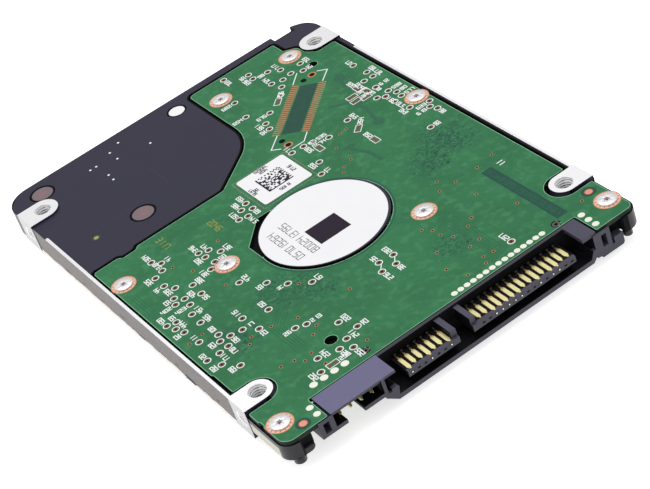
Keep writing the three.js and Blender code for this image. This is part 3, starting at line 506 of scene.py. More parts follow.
def refined(node, looks, body=ROOT, bevel=0.06, choose=None, cuts=()):
    """A copy of a CAD node with rounded edges, which stands for it.

    `choose` gives a face's look. Each of `cuts`, an axis and a place on it, splits the faces that it
    crosses, so that each side can have a look of its own.
    """
    bm = cad_mesh(node)
    for axis, at in cuts:
        normal = Vector([float(i == axis) for i in range(3)])
        everything = [*bm.verts, *bm.edges, *bm.faces]
        bmesh.ops.bisect_plane(bm, geom=everything, dist=TOUCHING, plane_co=normal * at * MM, plane_no=normal)
    sharp = [e for e in bm.edges if e.is_manifold and e.calc_face_angle(0.0) > SHARP]
    if choose:
        for face in bm.faces:
            face.material_index = choose(face.calc_center_median() / MM, face.normal)
    if bevel:
        bmesh.ops.bevel(bm, geom=sharp, offset=bevel * MM, offset_type="OFFSET", segments=2, profile=0.5,
                        affect="EDGES", clamp_overlap=True, loop_slide=True)
    mesh = bpy.data.meshes.new(node + "_finished")
    bm.to_mesh(mesh)
    bm.free()
    finish_mesh(mesh)
    return place(node + "_finished", mesh, looks, body, [node])


def line_rim(node, height, inwards, width, base, rise, keep=None):
    """Flat lines beside the edges where a CAD node's upper face at a height ends in a wall."""
    bm = cad_mesh(node)
    rim = Solids(base)
    for edge in bm.edges:
        upper = [f for f in edge.link_faces if f.normal.z > 0.9]
        walls = [f for f in edge.link_faces if abs(f.normal.z) < 0.5]
        start, end = (v.co / MM for v in edge.verts)
        level = max(abs(start.z - height), abs(end.z - height)) < 0.02
        if len(upper) == 1 and len(walls) == 1 and level and (keep is None or keep((start + end) / 2)):
            shift = walls[0].normal.xy.normalized() * -inwards
            rim.lines([start.xy + shift, end.xy + shift], width, rise)
    bm.free()
    return rim


# ------------------------------------------------------------------ camera, light and floor

TARGET = Vector((-1.705, -10.178, 3.5))
AZIMUTH, ELEVATION, ROLL = (math.radians(a) for a in (-21.535, 35.361, -20.561))
CAMERA_DISTANCE = 346.2
SENSOR_WIDTH, FOCAL_LENGTH = 36, 114.17


def make_camera():
    camera = bpy.data.objects.new("camera", bpy.data.cameras.new("camera"))
    bpy.context.scene.collection.objects.link(camera)
    back = Vector((math.sin(AZIMUTH) * math.cos(ELEVATION), -math.cos(AZIMUTH) * math.cos(ELEVATION),
                   math.sin(ELEVATION)))
    level = Vector((0, 0, 1)).cross(back).normalized()
    up = back.cross(level)
    right = math.cos(ROLL) * level + math.sin(ROLL) * up
    rolled_up = -math.sin(ROLL) * level + math.cos(ROLL) * up
    rotation = Matrix((right, rolled_up, back)).transposed()
    camera.matrix_world = Matrix.Translation((TARGET + back * CAMERA_DISTANCE) * MM) @ rotation.to_4x4()
    camera.data.sensor_width = SENSOR_WIDTH
    camera.data.lens = FOCAL_LENGTH
    camera.data.clip_start = 0.01
    camera.data.clip_end = 20
    bpy.context.scene.camera = camera


def area_light(name, position, size, power):
    light = bpy.data.lights.new(name, "AREA")
    light.shape = "DISK"
    light.size = size
    light.energy = power
    lamp = bpy.data.objects.new(name, light)
    bpy.context.scene.collection.objects.link(lamp)
    lamp.location = position
    lamp.rotation_mode = "QUATERNION"
    lamp.rotation_quaternion = (-Vector(position)).to_track_quat("-Z", "Y")


WORLD_STRENGTH = 0.62
FLOOR_HALF = 2.0                   # metres
FLOOR_GAP = 0.02
FLOOR_GLOW = 0.65                  # a lit table: it softens the shadows beside the object


def make_studio():
    world = bpy.data.worlds.new("studio")
    bpy.context.scene.world = world
    world.use_nodes = True
    backdrop = world.node_tree.nodes["Background"]
    backdrop.inputs["Color"].default_value = (1.0, 1.0, 1.0, 1.0)
    backdrop.inputs["Strength"].default_value = WORLD_STRENGTH
    area_light("overhead_softbox", (0.05, 0.15, 0.6), 0.7, 1.5)
    area_light("side_softbox", (-0.5, 0.1, 0.35), 0.4, 0.35)
    shader = Shader("studio_floor")
    shader.put(shader.principled, "Emission Color", (1.0, 1.0, 1.0, 1.0))
    shader.put(shader.principled, "Emission Strength", FLOOR_GLOW)
    tone = shader.mix(shader.noise(60), (0.96, 0.96, 0.96, 1), (0.98, 0.98, 0.98, 1))
    mesh = bpy.data.meshes.new("floor")
    signs = [(-1, -1), (1, -1), (1, 1), (-1, 1)]
    mesh.from_pydata([(x * FLOOR_HALF, y * FLOOR_HALF, 0) for x, y in signs], [], [[0, 1, 2, 3]])
    mesh.materials.append(shader.finish(tone, 0.9, specular=0.1))
    floor = bpy.data.objects.new("floor", mesh)
    bpy.context.scene.collection.objects.link(floor)
    floor.location.z = -FLOOR_GAP * MM


make_camera()
make_studio()
bpy.context.scene.view_settings.view_transform = "Standard"


# ------------------------------------------------------------------ base casting

MOUNT_X = 61.72 / 2
MOUNT_Y = (-36.1, 40.5)
BOSS_REACH = (2.62, 3.02)          # half the length of the near and the far bosses
SIDE_HOLE_Z = PAD - 3.0
HOLE_R = 1.5
RAIL_Z = 6.75
RAIL_INNER = 34.2
SIDE_X = 34.85
HORN_CORNER_Y = -47.6              # where the arms beside the connector turn round their corner
DECK_END = 50.0


def in_mounting_hole(centre):
    """Whether a face of the casting lines one of the threaded holes."""
    for y in MOUNT_Y:
        beside = math.hypot(abs(centre.x) - MOUNT_X, centre.y - y)
        if beside < HOLE_R + 0.45 and centre.z > 4.3 and centre.z < PAD - 0.01:
            return True
        around = math.hypot(centre.y - y, centre.z - SIDE_HOLE_Z)
        if around < HOLE_R + 0.2 and 32.4 < abs(centre.x) < SIDE_X + 0.05:
            return True
    return False


def casting_look(centre, normal):
    """0 coating, 1 machined pads, 2 rails, 3 milled sides, 4 painted shade in the dark gaps: the arm webs and
    the walls of the board's pocket.

    5 the milled side of a mounting boss, 6 the arms beside the connector.
    """
    x = abs(centre.x)
    if in_mounting_hole(centre):
        return 1
    if normal.z > 0.9 and centre.z > RAIL_Z + 0.15 and x > 25:
        return 1
    if normal.z > 0.9 and x > RAIL_INNER - 0.1 and centre.z > RAIL_Z - 0.05:
        return 2
    if abs(normal.x) > 0.9 and x > SIDE_X + 0.03:
        return 5
    if abs(normal.x) > 0.9 and x > SIDE_X - 0.1 and HORN_CORNER_Y < centre.y < 46:
        return 3
    # Painted shade on the arm webs under the board's corners.
    if centre.y < HORN_CORNER_Y and 29.5 < x < 32.3 and centre.z > 3.9 and normal.z < 0.5:
        return 4
    if centre.y < MOUNT_Y[0] - BOSS_REACH[0] and x > 27 and normal.z < 0.7:
        return 6
    # Painted shade on the walls of the board's pocket.
    if HORN_CORNER_Y < centre.y < DECK_END and x < RAIL_INNER + 0.2 and 5.0 < centre.z < DECK - 0.05:
        return 4
    return 0


def threaded_sleeve(name, at, axis, depth, looks):
    """The cut thread that lines a tapped hole: its inner wall winds round as a helix, with painted shade
    along its root.
    """
    pitch, reach, count = 0.5, 0.22, 32
    rows = int(depth / pitch * 6)
    rotation = Vector((0, 0, 1)).rotation_difference(Vector(axis))

    def wall(k, z, turn):
        """The inner wall's radius: a helix that grows over the first rows."""
        wave = abs(((z / pitch + turn) % 1.0) * 2 - 1)
        return HOLE_R - 0.02 - reach * wave * min(1.0, k / 4)

    def turned_into_place(ring):
        points = [(r * math.cos(math.tau * i / count), r * math.sin(math.tau * i / count), z)
                  for i, (r, z) in enumerate(ring)]
        return [tuple(rotation @ Vector(point) + Vector(at)) for point in points]

    heights = [-depth * k / rows for k in range(rows + 1)]
    rings = [[(wall(k, z, i / count), z) for i in range(count)] for k, z in enumerate(heights)]
    rings += [[(HOLE_R + 0.03, z)] * count for z in (-depth, 0.0)]
    solids = Solids().skin([turned_into_place(ring) for ring in rings], capped=False)
    for k in range(rows):
        for i in range(count):
            winding = (-depth * (k + 0.5) / rows / pitch + (i + 0.5) / count) % 1.0
            # Faces near the thread's root take look 1, painted shade.
            solids.looks[k * count + i] = int(abs(winding * 2 - 1) < 0.2)
    return piece_of(name, solids, looks)


def make_casting():
    looks = ["coat", "machined", "rail", "side", "bore", "side_pad", "arm_coat"]
    refined("base_casting", looks, choose=casting_look)
    for side, sign in (("left", -1), ("right", 1)):
        for end, y in zip(("near", "far"), MOUNT_Y):
            threaded_sleeve(f"pad_thread_{end}_{side}", (sign * MOUNT_X, y, PAD - 0.3), (0, 0, 1), 2.5,
                            ["thread", "groove_shade"])
            threaded_sleeve(f"side_thread_{end}_{side}", (sign * SIDE_X, y, SIDE_HOLE_Z), (sign, 0, 0), 2.1,
                            ["thread", "thread"])


DECK_SEALS = {"pivot_seal": (-19.0, 22.6, 2.08), "corner_seal": (-28.4, 45.7, 2.08)}
WHITE_SEAL = (1.7, 45.6, 1.6)
SEAL_LOW, SEAL_HIGH = DECK - 0.115, DECK - 0.03
SPOT_LOW, SPOT_HIGH = DECK - 0.002, DECK + 0.03
INK_DOT = (-28.3, 23.8)
DECK_RIDGE = [(-27.0, 25.9), (-12.2, 25.9), (-11.5, 26.2), (-11.2, 26.9), (-11.2, 33.5)]
DECK_SPECKS = [(-10.9, 46.9), (-13.6, 45.4), (-18.8, 43.8), (-17.5, 43.8), (-13.6, 42.3), (-7.0, 40.9),
               (-17.3, 39.1), (-17.4, 37.0)]


def beside_board(point):
    """Whether a place on the casting's deck is at the edge of the board's pocket."""
    return abs(point.x) < RAIL_INNER and HORN_CORNER_Y < point.y < DECK_END - 1.0


def make_deck_marks():
    seal_shade = Solids(SPOT_LOW)
    for name, (x, y, r) in DECK_SEALS.items():
        solids = Solids().disc(x, y, r, SEAL_LOW, SEAL_HIGH, 48, chamfer=0.03)
        piece_of(name, solids, seal_rubber(name + "_rubber", (x, y, DECK)))
        # A thin ring of painted shade round each seal.
        seal_shade.band(x, y, r, r + 0.17, 48, 0.008)
    piece_of("seal_gap_shade", seal_shade, "bore")
    white = Solids().disc(*WHITE_SEAL, SEAL_LOW, SEAL_HIGH, 40, chamfer=0.03)
    piece_of("white_seal", white, "ink")
    specks = Solids()
    for x, y in DECK_SPECKS:
        specks.disc(x, y, 0.24, SPOT_LOW, SPOT_HIGH, 12, chamfer=0.02)
    piece_of("deck_specks", specks, "ink")
    halo = Solids(SPOT_LOW).dot(*INK_DOT, 0.85, 24)
    piece_of("ink_halo", halo, "ink_halo")
    dot = Solids().disc(*INK_DOT, 0.48, SPOT_LOW, SPOT_HIGH, 24, chamfer=0.02)
    piece_of("ink_dot", dot, "ink_dot")
    ridge = Solids(DECK - SINK).lines(DECK_RIDGE, 0.16, 0.009)
    piece_of("deck_ridge", ridge, "coat_edge")
    edge = line_rim("base_casting", DECK, 0.16, 0.32, SPOT_LOW, 0.006, beside_board)
    piece_of("deck_edge_shade", edge, "bore")


SIDE_NICKS = [(-18.2, 1.8, 2.2, 0.42), (-22.6, 2.0, 0.5, 0.12), (-25.5, 1.95, 0.8, 0.1),
              (-1.5, 1.9, 1.3, 0.24), (1.3, 2.1, 0.35, 0.2), (4.5, 3.0, 1.4, 0.12), (-9.0, 2.0, 1.0, 0.1),
              (-28.0, 3.0, 0.5, 0.12), (-14.5, 3.0, 0.6, 0.12), (12.6, 2.4, 0.8, 0.12), (19.5, 2.8, 0.5, 0.1),
              (26.4, 2.2, 0.9, 0.12), (33.0, 2.0, 1.4, 0.1)]


def make_side_nicks():
    """Small dark marks that handling and casting leave on the milled sides."""
    solids = Solids()
    count = 14
    for sign in (-1, 1):
        for y, z, half_length, half_height in SIDE_NICKS:
            ragged = random.Random(round(y * 10))
            reach = [ragged.uniform(0.7, 1.15) for _ in range(count)]
            ellipse = [(y + half_length * r * math.cos(math.tau * i / count),
                        z + half_height * r * math.sin(math.tau * i / count)) for i, r in enumerate(reach)]
            depths = (sign * (SIDE_X - 0.005), sign * (SIDE_X + 0.01))
            solids.skin([[(x, *point) for point in ellipse] for x in depths])
        for y, reach in zip(MOUNT_Y, BOSS_REACH):
            for edge in (y - reach, y + reach):
                seam = sorted((sign * (SIDE_X - 0.005), sign * (SIDE_X + 0.07)))
                solids.block(*seam, edge - 0.07, edge + 0.07, 1.5, 6.6)
    piece_of("side_nicks", solids, "nick")


make_casting()
make_deck_marks()
make_side_nicks()


# ------------------------------------------------------------------ circuit board

SEGMENTS = {"a": ((0, 2), (1, 2)), "b": ((1, 2), (1, 1)), "c": ((1, 1), (1, 0)), "d": ((1, 0), (0, 0)),
            "e": ((0, 0), (0, 1)), "f": ((0, 1), (0, 2)), "g": ((0, 1), (1, 1))}
DIGITS = {"0": "abcdef", "1": "bc", "2": "abged", "3": "abgcd", "4": "fgbc", "5": "afgcd", "6": "afgedc",
          "7": "abc", "8": "abcdefg", "9": "abcdfg"}


def write_digits(solids, text, centre, height, angle, width=None, rise=LIFT):
    """Digits drawn with flat lines, centred on a point and turned by an angle in degrees."""
    wide, gap = height * 0.5, height * 0.3
    length = len(text) * (wide + gap) - gap
    turn = Matrix.Rotation(math.radians(angle), 2)
    for place_in_text, digit in enumerate(text):
        left = place_in_text * (wide + gap) - length / 2
        for name in DIGITS[digit]:
            ends = [Vector(centre) + turn @ Vector((left + x * wide, (y - 1) * height / 2))
                    for x, y in SEGMENTS[name]]
            solids.lines(ends, width or height * 0.21, rise)


BOARD_SCREWS = [centre_of(f"pcb_screw_{i}") for i in range(1, 9)]
RINGED_POINTS = """
-30.8 -17.55 u, -27.7 -18.7 u, -22.9 -18.6 u, -13.1 -17.55 l, -28.4 -20.4 l, -26.5 -20.6 d,
-24.4 -21.05 rh, -18.85 -20.45 u, -10.25 -20.75 r, -32.3 -22.7 u, -29.95 -22.8 d, -28.1 -22.55 d,
-22.5 -23.25 d, -31.2 -25.55 l, -29.3 -28.3 l, -18.55 -28.2 lh, -16.8 -28.95 rh, -13.2 -33.05 r,
-11.8 -36.45 r, -20.25 -37.5 r, -14.6 -37.45 r, -16.75 -38.6 d, -15.05 -40.05 d, -21.7 -40.6 l,
-0.4 -26.25 u, -1.4 -28.6 d, 2.3 -26.6 u, 1.25 -28.9 d, 16.25 -40.45 u, -25.4 8.3 u, -24.35 6.55 r,
-25.25 4.6 u, -27.1 3.8 l, -27.2 0.55 l, -26.2 -1.6 l, -18.6 3.1 u, -17.0 2.3 u, -18.4 1.1 l,
-15.8 0.1 r, -18.0 -1.5 rh, -19.5 -2.7 l, -23.8 -3.6 r, -27.8 -3.95 l, -28.45 -5.6 lh, -26.6 -5.6 r,
-24.0 -6.9 d, -26.8 -7.8 lh, -32.3 -9.2 u, -30.7 -9.75 u, -31.7 -11.25 r, -27.9 -10.3 r,
-31.15 -13.2 l, -28.05 -13.4 r, -18.25 -10.1 r, -15.3 -14.25 l, -7.3 6.9 u, -5.7 7.9 u, -5.7 5.6 d,
-9.0 4.9 u, -7.4 4.4 d, 7.8 13.3 u, 10.2 13.1 d, 12.0 12.7 rh, 14.6 11.2 lh, 19.7 12.6 r, 9.3 6.45 l,
7.5 3.05 r, 28.3 9.6 d, 30.1 10.0 rh, 30.3 11.75 rh, 28.2 12.4 d, 29.6 13.5 rh, 27.0 13.5 -,
28.9 16.6 rh, 31.1 2.4 lh, 31.6 0.75 d, 32.1 3.9 lh, 28.8 5.5 l, 27.4 -2.9 r, 8.8 31.1 lh,
9.9 25.7 l, 9.4 23.6 l, 12.3 28.0 lh, 10.0 37.2 lh, 16.8 43.0 l, 16.6 41.0 l, 12.9 46.1 d,
19.6 40.3 lh, 21.5 38.5 u, 17.8 36.0 u, 19.9 35.2 -, 18.4 33.3 -, 22.0 35.6 -, 24.0 34.2 r,
25.0 36.8 r, 16.8 31.1 -, 30.6 26.6 u, 30.8 22.3 r, 30.7 20.1 r, 28.8 20.3 l
"""
VIAS = """
-32.1 -16.6, -29.4 -16.25, -24.4 -23.9, -25.6 -25.3, -20.9 -24.5, -16.8 -26.4, -15.9 -30.6,
-17.55 -32.1, -11.9 -19.25, -25.2 -34.2, -23.0 -34.8, -20.2 -35.55, -21.9 -36.25, -20.1 -39.5,
-12.7 -40.45, -7.3 -27.7, 29.7 -42.05, 18.45 -16.9, 17.2 -19.45, 20.4 -19.75, 25.0 -19.7, 28.7 -19.0,
20.45 -25.55, 9.0 -25.5, 10.05 -27.1, 10.2 -29.1, 16.1 -29.9, 11.2 -31.3, 14.4 -31.2, 7.05 -32.4,
23.05 -33.4, 13.45 -35.5, 11.3 -35.8, 5.5 -37.2, 11.2 -39.6, 12.95 -40.0, 6.8 -41.25, 10.4 -41.3,
-23.6 3.75, -21.8 -0.3, -14.6 3.1, -20.1 -8.6, 10.2 -0.2, 11.2 1.2, 13.2 2.0, 16.4 10.3, 18.0 10.5,
13.5 7.1
"""
LABEL_PLACES = {"u": (0, 1, 90), "d": (0, -1, 90), "l": (-1, 0, 90), "r": (1, 0, 90),
                "lh": (-1, 0, 0), "rh": (1, 0, 0)}
LABEL_HEIGHT = 0.86
POINT_R = 0.7
POINT_LINKS = [[(-0.4, -26.95), (-1.2, -27.95)], [(2.1, -27.3), (1.45, -28.25)]]
MARKS_LOW = BOARD_TOP - SINK


def board_look(centre, normal):
    """0 solder mask, 1 the laminate of the cut sides and hole walls, near-black with painted shade."""
    return 0 if abs(normal.z) > 0.5 else 1


def make_test_points(marks):
    """Test points in white rings, each with a neutral number beside it."""
    for number, entry in enumerate(RINGED_POINTS.split(",")):
        x, y, side = entry.split()
        x, y = float(x), float(y)
        marks["ink"].band(x, y, POINT_R - 0.17, POINT_R, 20)
        marks["dull_copper"].dot(x, y, 0.38, 14)
        # A dot of painted shade at the test point's centre.
        marks["bore"].dot(x, y, 0.2, 10, LIFT + 0.006)
        if side == "-":
            continue
        dx, dy, angle = LABEL_PLACES[side]
        text = str(101 + number * 7)[-3:] if number % 3 else str(11 + number)[-2:]
        half_length = (len(text) * 0.8 - 0.3) * LABEL_HEIGHT / 2
        runs_outwards = (angle == 90) == (dy != 0)
        reach = POINT_R + 0.28 + (half_length if runs_outwards else LABEL_HEIGHT / 2)
        write_digits(marks["ink"], text, (x + dx * reach, y + dy * reach), LABEL_HEIGHT, angle)


FOOTPRINT_ROWS = [((9.0, 20.7), (20.1, 31.0)), ((13.2, 16.9), (24.0, 27.3))]
FOOTPRINT_PADS = 25
FOOTPRINT_CORNERS = [[(9.0, 20.3), (5.9, 17.5), (7.2, 16.2)], [(24.3, 27.8), (27.0, 30.2), (25.5, 31.5)],
                     [(20.1, 31.9), (22.7, 34.5)], [(8.6, 14.4), (11.2, 14.4), (13.1, 16.3)]]
BLACK_HOLES = [(22.1, 31.2, 0.6), (8.7, 18.1, 0.6)]
RIMMED_HOLES = [(24.2, 31.4, 0.55), (8.8, 16.1, 0.55)]


def make_connector_footprint(marks):
    """The slanted field of unused pads for a second connector."""
    (a, b), (c, d) = ([Vector(point) for point in row] for row in FOOTPRINT_ROWS)
    along = (b - a).normalized()
    across = Vector((along.y, -along.x))
    for start, end in ((a, b), (c, d)):
        for i in range(FOOTPRINT_PADS):
            middle = start.lerp(end, i / (FOOTPRINT_PADS - 1))
            marks["pale_copper"].lines([middle - across * 0.62, middle + across * 0.62], 0.27)
    field = [a + across, c - across, d - across, b + across]
    marks["mask_teal"].prism([tuple(p) for p in field], MARKS_LOW, MARKS_LOW + LIFT * 0.6)
    for corner in FOOTPRINT_CORNERS:
        marks["ink"].lines(corner, 0.2)
    for x, y, r in BLACK_HOLES + RIMMED_HOLES:
        # Dots of painted shade in the holes.
        marks["bore"].dot(x, y, r, 20, LIFT + 0.006)
    for x, y, r in RIMMED_HOLES:
        marks["pale_copper"].band(x, y, r, r + 0.32, 20)


SMALL_PARTS = [(-19.4, -40.6, 0), (11.7, 10.0, 90), (19.4, 8.6, 45), (19.25, 3.0, 90), (15.2, 29.7, 45),
               (24.4, 18.0, 0), (26.6, 19.3, 90), (26.0, 15.6, 0), (27.2, 17.2, 90), (24.2, 16.3, 0)]


def make_small_parts(marks):
    """Unused places for two-pad parts: two copper pads in a white frame."""
    for x, y, angle in SMALL_PARTS:
        turn = Matrix.Rotation(math.radians(angle), 2)

        def at(u, v, turn=turn, x=x, y=y):
            return Vector((x, y)) + turn @ Vector((u, v))
        for side in (-1, 1):
            marks["dull_copper"].lines([at(side * 0.48, -0.12), at(side * 0.48, 0.12)], 0.5)
        corners = [(-1.05, -0.6), (1.05, -0.6), (1.05, 0.6), (-1.05, 0.6), (-1.05, -0.6)]
        marks["ink"].lines([at(u, v) for u, v in corners], 0.14)
        write_digits(marks["ink"], str(120 + round(abs(x * 7 + y))), at(2.3, 0), LABEL_HEIGHT, angle)


POWER_PADS_X = [2.7 + 1.27 * i for i in range(15)]
JUMPER_X = [-24.1, -22.1, -20.1, -18.1]
ROUND_PADS = ([(x, -43.1, 0.56) for x in POWER_PADS_X] + [(x, -42.1, 0.7) for x in JUMPER_X]
              + [(-27.4, -46.0, 0.62), (-27.4, -48.05, 0.62), (27.3, -44.8, 0.62), (27.25, -46.65, 0.62),
                 (27.25, -48.45, 0.62)])
FAINT_STAMPS = [("3117", (-21.2, 11.2)), ("2046", (-12.6, 7.4))]
CODE_BAND = (24.45, 26.6, -42.2, -21.6)
LAND_INNER, LAND_OUTER, LAND_RIM, LAND_VIAS = 1.0, 2.06, 2.28, 15
FIDUCIALS = [(-30.0, -48.05), (31.9, -41.1)]
LINED_HOLES = [(-14.2, -42.3, 0.6), (23.4, -43.1, 0.7)]
BROAD_TRACKS = [[(20.1, 19.0), (23.3, 16.8), (23.9, 12.9), (23.1, 8.6)],
                [(14.6, 5.6), (16.4, 0.8), (16.6, -2.8)], [(26.9, 26.8), (25.6, 22.2)]]
DARK_BLOTS = [(22.9, 7.0, 1.15), (15.3, 5.2, 0.9), (26.6, 25.4, 1.2), (24.0, 15.4, 0.9)]
TRACK_BUNDLES = [
    ([(6.5, -17.5), (13.5, -24.5), (13.5, -40.0)], 6, 0.5),
    ([(-14.0, -19.0), (-20.5, -25.5), (-20.5, -33.0)], 5, 0.5),
    ([(14.0, 3.5), (19.5, 9.0), (19.5, 16.5)], 7, 0.5),
    ([(9.0, 33.5), (9.0, 37.0), (14.5, 42.5), (22.0, 42.5)], 5, 0.45),
    ([(-23.5, 11.0), (-13.0, 11.0), (-9.0, 7.0)], 5, 0.5),
    ([(16.5, -14.5), (22.0, -20.0), (29.5, -20.0)], 5, 0.5),
    ([(28.5, 34.0), (28.5, 24.0), (24.5, 20.0)], 4, 0.5),
    ([(-32.2, -6.0), (-32.2, 2.5)], 3, 0.5),
]


def make_tracks(marks):
    """Bundles of parallel copper tracks, seen as faint ridges under the solder mask."""
    for route, count, pitch in TRACK_BUNDLES:
        for i in range(count):
            shift = (i - (count - 1) / 2) * pitch
            points = []
            for k, corner in enumerate(route):
                here = Vector(corner)
                before = (here - Vector(route[k - 1])).normalized() if k else None
                after = (Vector(route[k + 1]) - here).normalized() if k + 1 < len(route) else None
                before, after = before or after, after or before
                side = Vector((-before.y - after.y, before.x + after.x)) / (1 + before.dot(after))
                points.append(here + side * shift)
            marks["track"].lines(points, 0.17, 0.004)
    for route in BROAD_TRACKS:
        marks["broad_track"].lines(route, 0.75, 0.003)
    for x, y, r in DARK_BLOTS:
        marks["broad_track"].dot(x, y, r, 20, 0.002)


def scatter_masked_vias(dark):
    """Little rings in the solder mask, over the vias of the areas that are dense with them."""
    scatter = random.Random(3)
    for (x, y), radius in DENSE_AREAS:
        for _ in range(round(radius * 4)):
            turn, reach = scatter.uniform(0, math.tau), radius * math.sqrt(scatter.random())
            dark.band(x + reach * math.cos(turn), y + reach * math.sin(turn), 0.17, 0.29, 12, LIFT * 0.45)


def make_screw_ring(marks, x, y):
    """The copper land round a board screw: a salmon rim, and a ring of small dark vias."""
    marks["copper"].band(x, y, LAND_INNER, LAND_OUTER, 48)
    marks["salmon"].band(x, y, LAND_OUTER, LAND_RIM, 48)
    for k in range(LAND_VIAS):
        angle = math.tau * k / LAND_VIAS
        marks["via"].dot(x + 1.9 * math.cos(angle), y + 1.9 * math.sin(angle), 0.11, 10, LIFT + 0.004)


def make_fiducial(marks, x, y):
    marks["mask_dark"].band(x, y, 0.82, 1.25, 32, LIFT * 0.7)
    marks["dull_copper"].band(x, y, 0.66, 0.82, 28)
    marks["salmon"].dot(x, y, 0.66, 28, LIFT * 0.8)


def make_code_band(marks):
    """A dark band on the board with a column of faint digits."""
    marks["mask_dark"].strip(*CODE_BAND, LIFT * 0.5)
    for row in range(14):
        write_digits(marks["track"], str((row * 37) % 90 + 10), (25.5, -22.8 - row * 1.4), 0.95, 90, 0.12,
                     LIFT * 1.5)


BOARD_MARKS = {                    # look: name and slot of the piece that holds all marks of this look
    "ink": ("white_legend", "white_label"),
    "copper": ("copper_marks", "copper"),
    "salmon": ("copper_rims", "copper"),
    "pale_copper": ("via_rings", "copper"),
    "via": ("land_vias", "copper"),
    "dull_copper": ("test_pads", "copper"),
    "solder": ("tinned_pads", "screw_steel"),
    "bore": ("board_hole_shade", "chip_black"),
    "recess": ("hole_linings", "chip_black"),
    "track": ("copper_tracks", "green_board"),
    "broad_track": ("broad_tracks", "green_board"),
    "mask_dark": ("mask_bands", "green_board"),
    "mask_teal": ("mask_field", "green_board"),
    "faint_ink": ("faint_stamps", "white_label"),
}


def make_board():
    refined("pcb", ["mask", "board_edge_shade"], bevel=0.05, choose=board_look)
    # A thin line of painted highlight along the board's upper edges.
    rim = line_rim("pcb", BOARD_TOP, 0.06, 0.11, MARKS_LOW, 0.008)
    piece_of("board_rim_highlight", rim, "edge_light")
    marks = {look: Solids(MARKS_LOW) for look in BOARD_MARKS}
    for text, centre in FAINT_STAMPS:
        write_digits(marks["faint_ink"], text, centre, 1.25, -90, 0.16)
    make_tracks(marks)
    make_test_points(marks)
    make_connector_footprint(marks)
    make_small_parts(marks)
    scatter_masked_vias(marks["mask_dark"])
    for entry in VIAS.split(","):
        x, y = (float(v) for v in entry.split())
        marks["pale_copper"].band(x, y, 0.2, 0.31, 14)
        # A dot of painted shade in the via's hole.
        marks["bore"].dot(x, y, 0.2, 10, LIFT + 0.002)
    for x, y, r in ROUND_PADS:
        marks["solder"].disc(x, y, r, MARKS_LOW, MARKS_LOW + 0.05, 24, chamfer=0.035)
    for screw in BOARD_SCREWS:
        make_screw_ring(marks, screw.x, screw.y)
    for x, y in FIDUCIALS:
        make_fiducial(marks, x, y)
    lining_low, lining_high = MARKS_LOW - 0.1, MARKS_LOW - 0.04
    for x, y, r in LINED_HOLES:
        # A ring of painted shade round the hole.
        marks["bore"].band(x, y, r, r + 0.16, 32)
        marks["recess"].turned([(r * 0.45, lining_low), (r + 0.02, lining_low), (r + 0.02, lining_high),
                                (r * 0.45, lining_high)], (x, y), 32)
    make_code_band(marks)
    for link in POINT_LINKS:
        marks["ink"].lines(link, 0.16)
    write_digits(marks["ink"], "11", (28.3, -22.4), 1.0, 90)
    for look, (name, slot) in BOARD_MARKS.items():
        piece_of(name, marks[look], look)


SCREW_PROFILE = [(0.0, 4.7), (0.7, 4.7), (0.7, 6.68), (1.6, 6.68), (1.7, 6.74), (1.7, 6.9), (1.62, 6.96),
                 (0.54, 6.96, 0.08), (0.46, 6.94, 0.1), (0.42, 6.62, 0.1), (0.0, 6.58)]


def make_board_screws():
    recess = Solids()
    for number, screw in enumerate(BOARD_SCREWS, start=1):
        solids = Solids().turned(SCREW_PROFILE, (screw.x, screw.y), 60, lobes=6)
        name = f"pcb_screw_{number}"
        piece_of(name + "_finished", solids, "steel", replaces=[name])
        # A grey disc of painted shade at the bottom of each screw's recess.
        recess.disc(screw.x, screw.y, 0.24, 6.57, 6.74, 16)
    piece_of("screw_recess_shade", recess, "recess")


def matrix_code(solids, x0, y0, side, cells):
    """A made-up square pattern of dark cells, which encodes nothing."""
    random.seed(11)
    cell = side / cells
    for row in range(cells):
        for column in range(cells):
            solid_edge = row == 0 or column == 0
            ticked_edge = (row == cells - 1 and column % 2 == 0) or (column == cells - 1 and row % 2 == 0)
            inner = 0 < row < cells - 1 and 0 < column < cells - 1 and random.random() < 0.5
            if solid_edge or ticked_edge or inner:
                x, y = x0 + column * cell, y0 + row * cell
                solids.strip(x, x + cell * 0.96, y, y + cell * 0.96)


STICKER_DIGITS = [("402", (1.4, 13.2), 0.7, 180), ("8105", (1.4, 5.7), 0.7, 180),
                  ("2716", (5.2, 9.4), 0.7, 90), ("39", (-2.5, 9.4), 0.7, 90),
                  ("730625", (1.4, 14.1), 0.6, 180), ("58147", (-3.2, 9.4), 0.6, 90)]
STICKER_FRAME = [(-4.4, 3.5), (7.0, 3.5), (7.0, 15.0), (-4.4, 15.0), (-4.4, 3.5)]
FRAME_DASHES = 15


def make_sticker():
    refined("pcb_sticker", "label", bevel=0.02)
    black = Solids(box_mm("pcb_sticker")[1].z - SINK)
    matrix_code(black, -1.2, 6.8, 5.2, 16)
    for text, centre, height, angle in STICKER_DIGITS:
        write_digits(black, text, centre, height, angle)
    piece_of("sticker_print", black, "print")
    brown = Solids(MARKS_LOW)
    for start, end in zip(STICKER_FRAME, STICKER_FRAME[1:]):
        a, b = Vector(start), Vector(end)
        for i in range(FRAME_DASHES):
            brown.lines([a.lerp(b, (i + 0.15) / FRAME_DASHES), a.lerp(b, (i + 0.7) / FRAME_DASHES)], 0.14)
    piece_of("sticker_frame", brown, "brown_print")


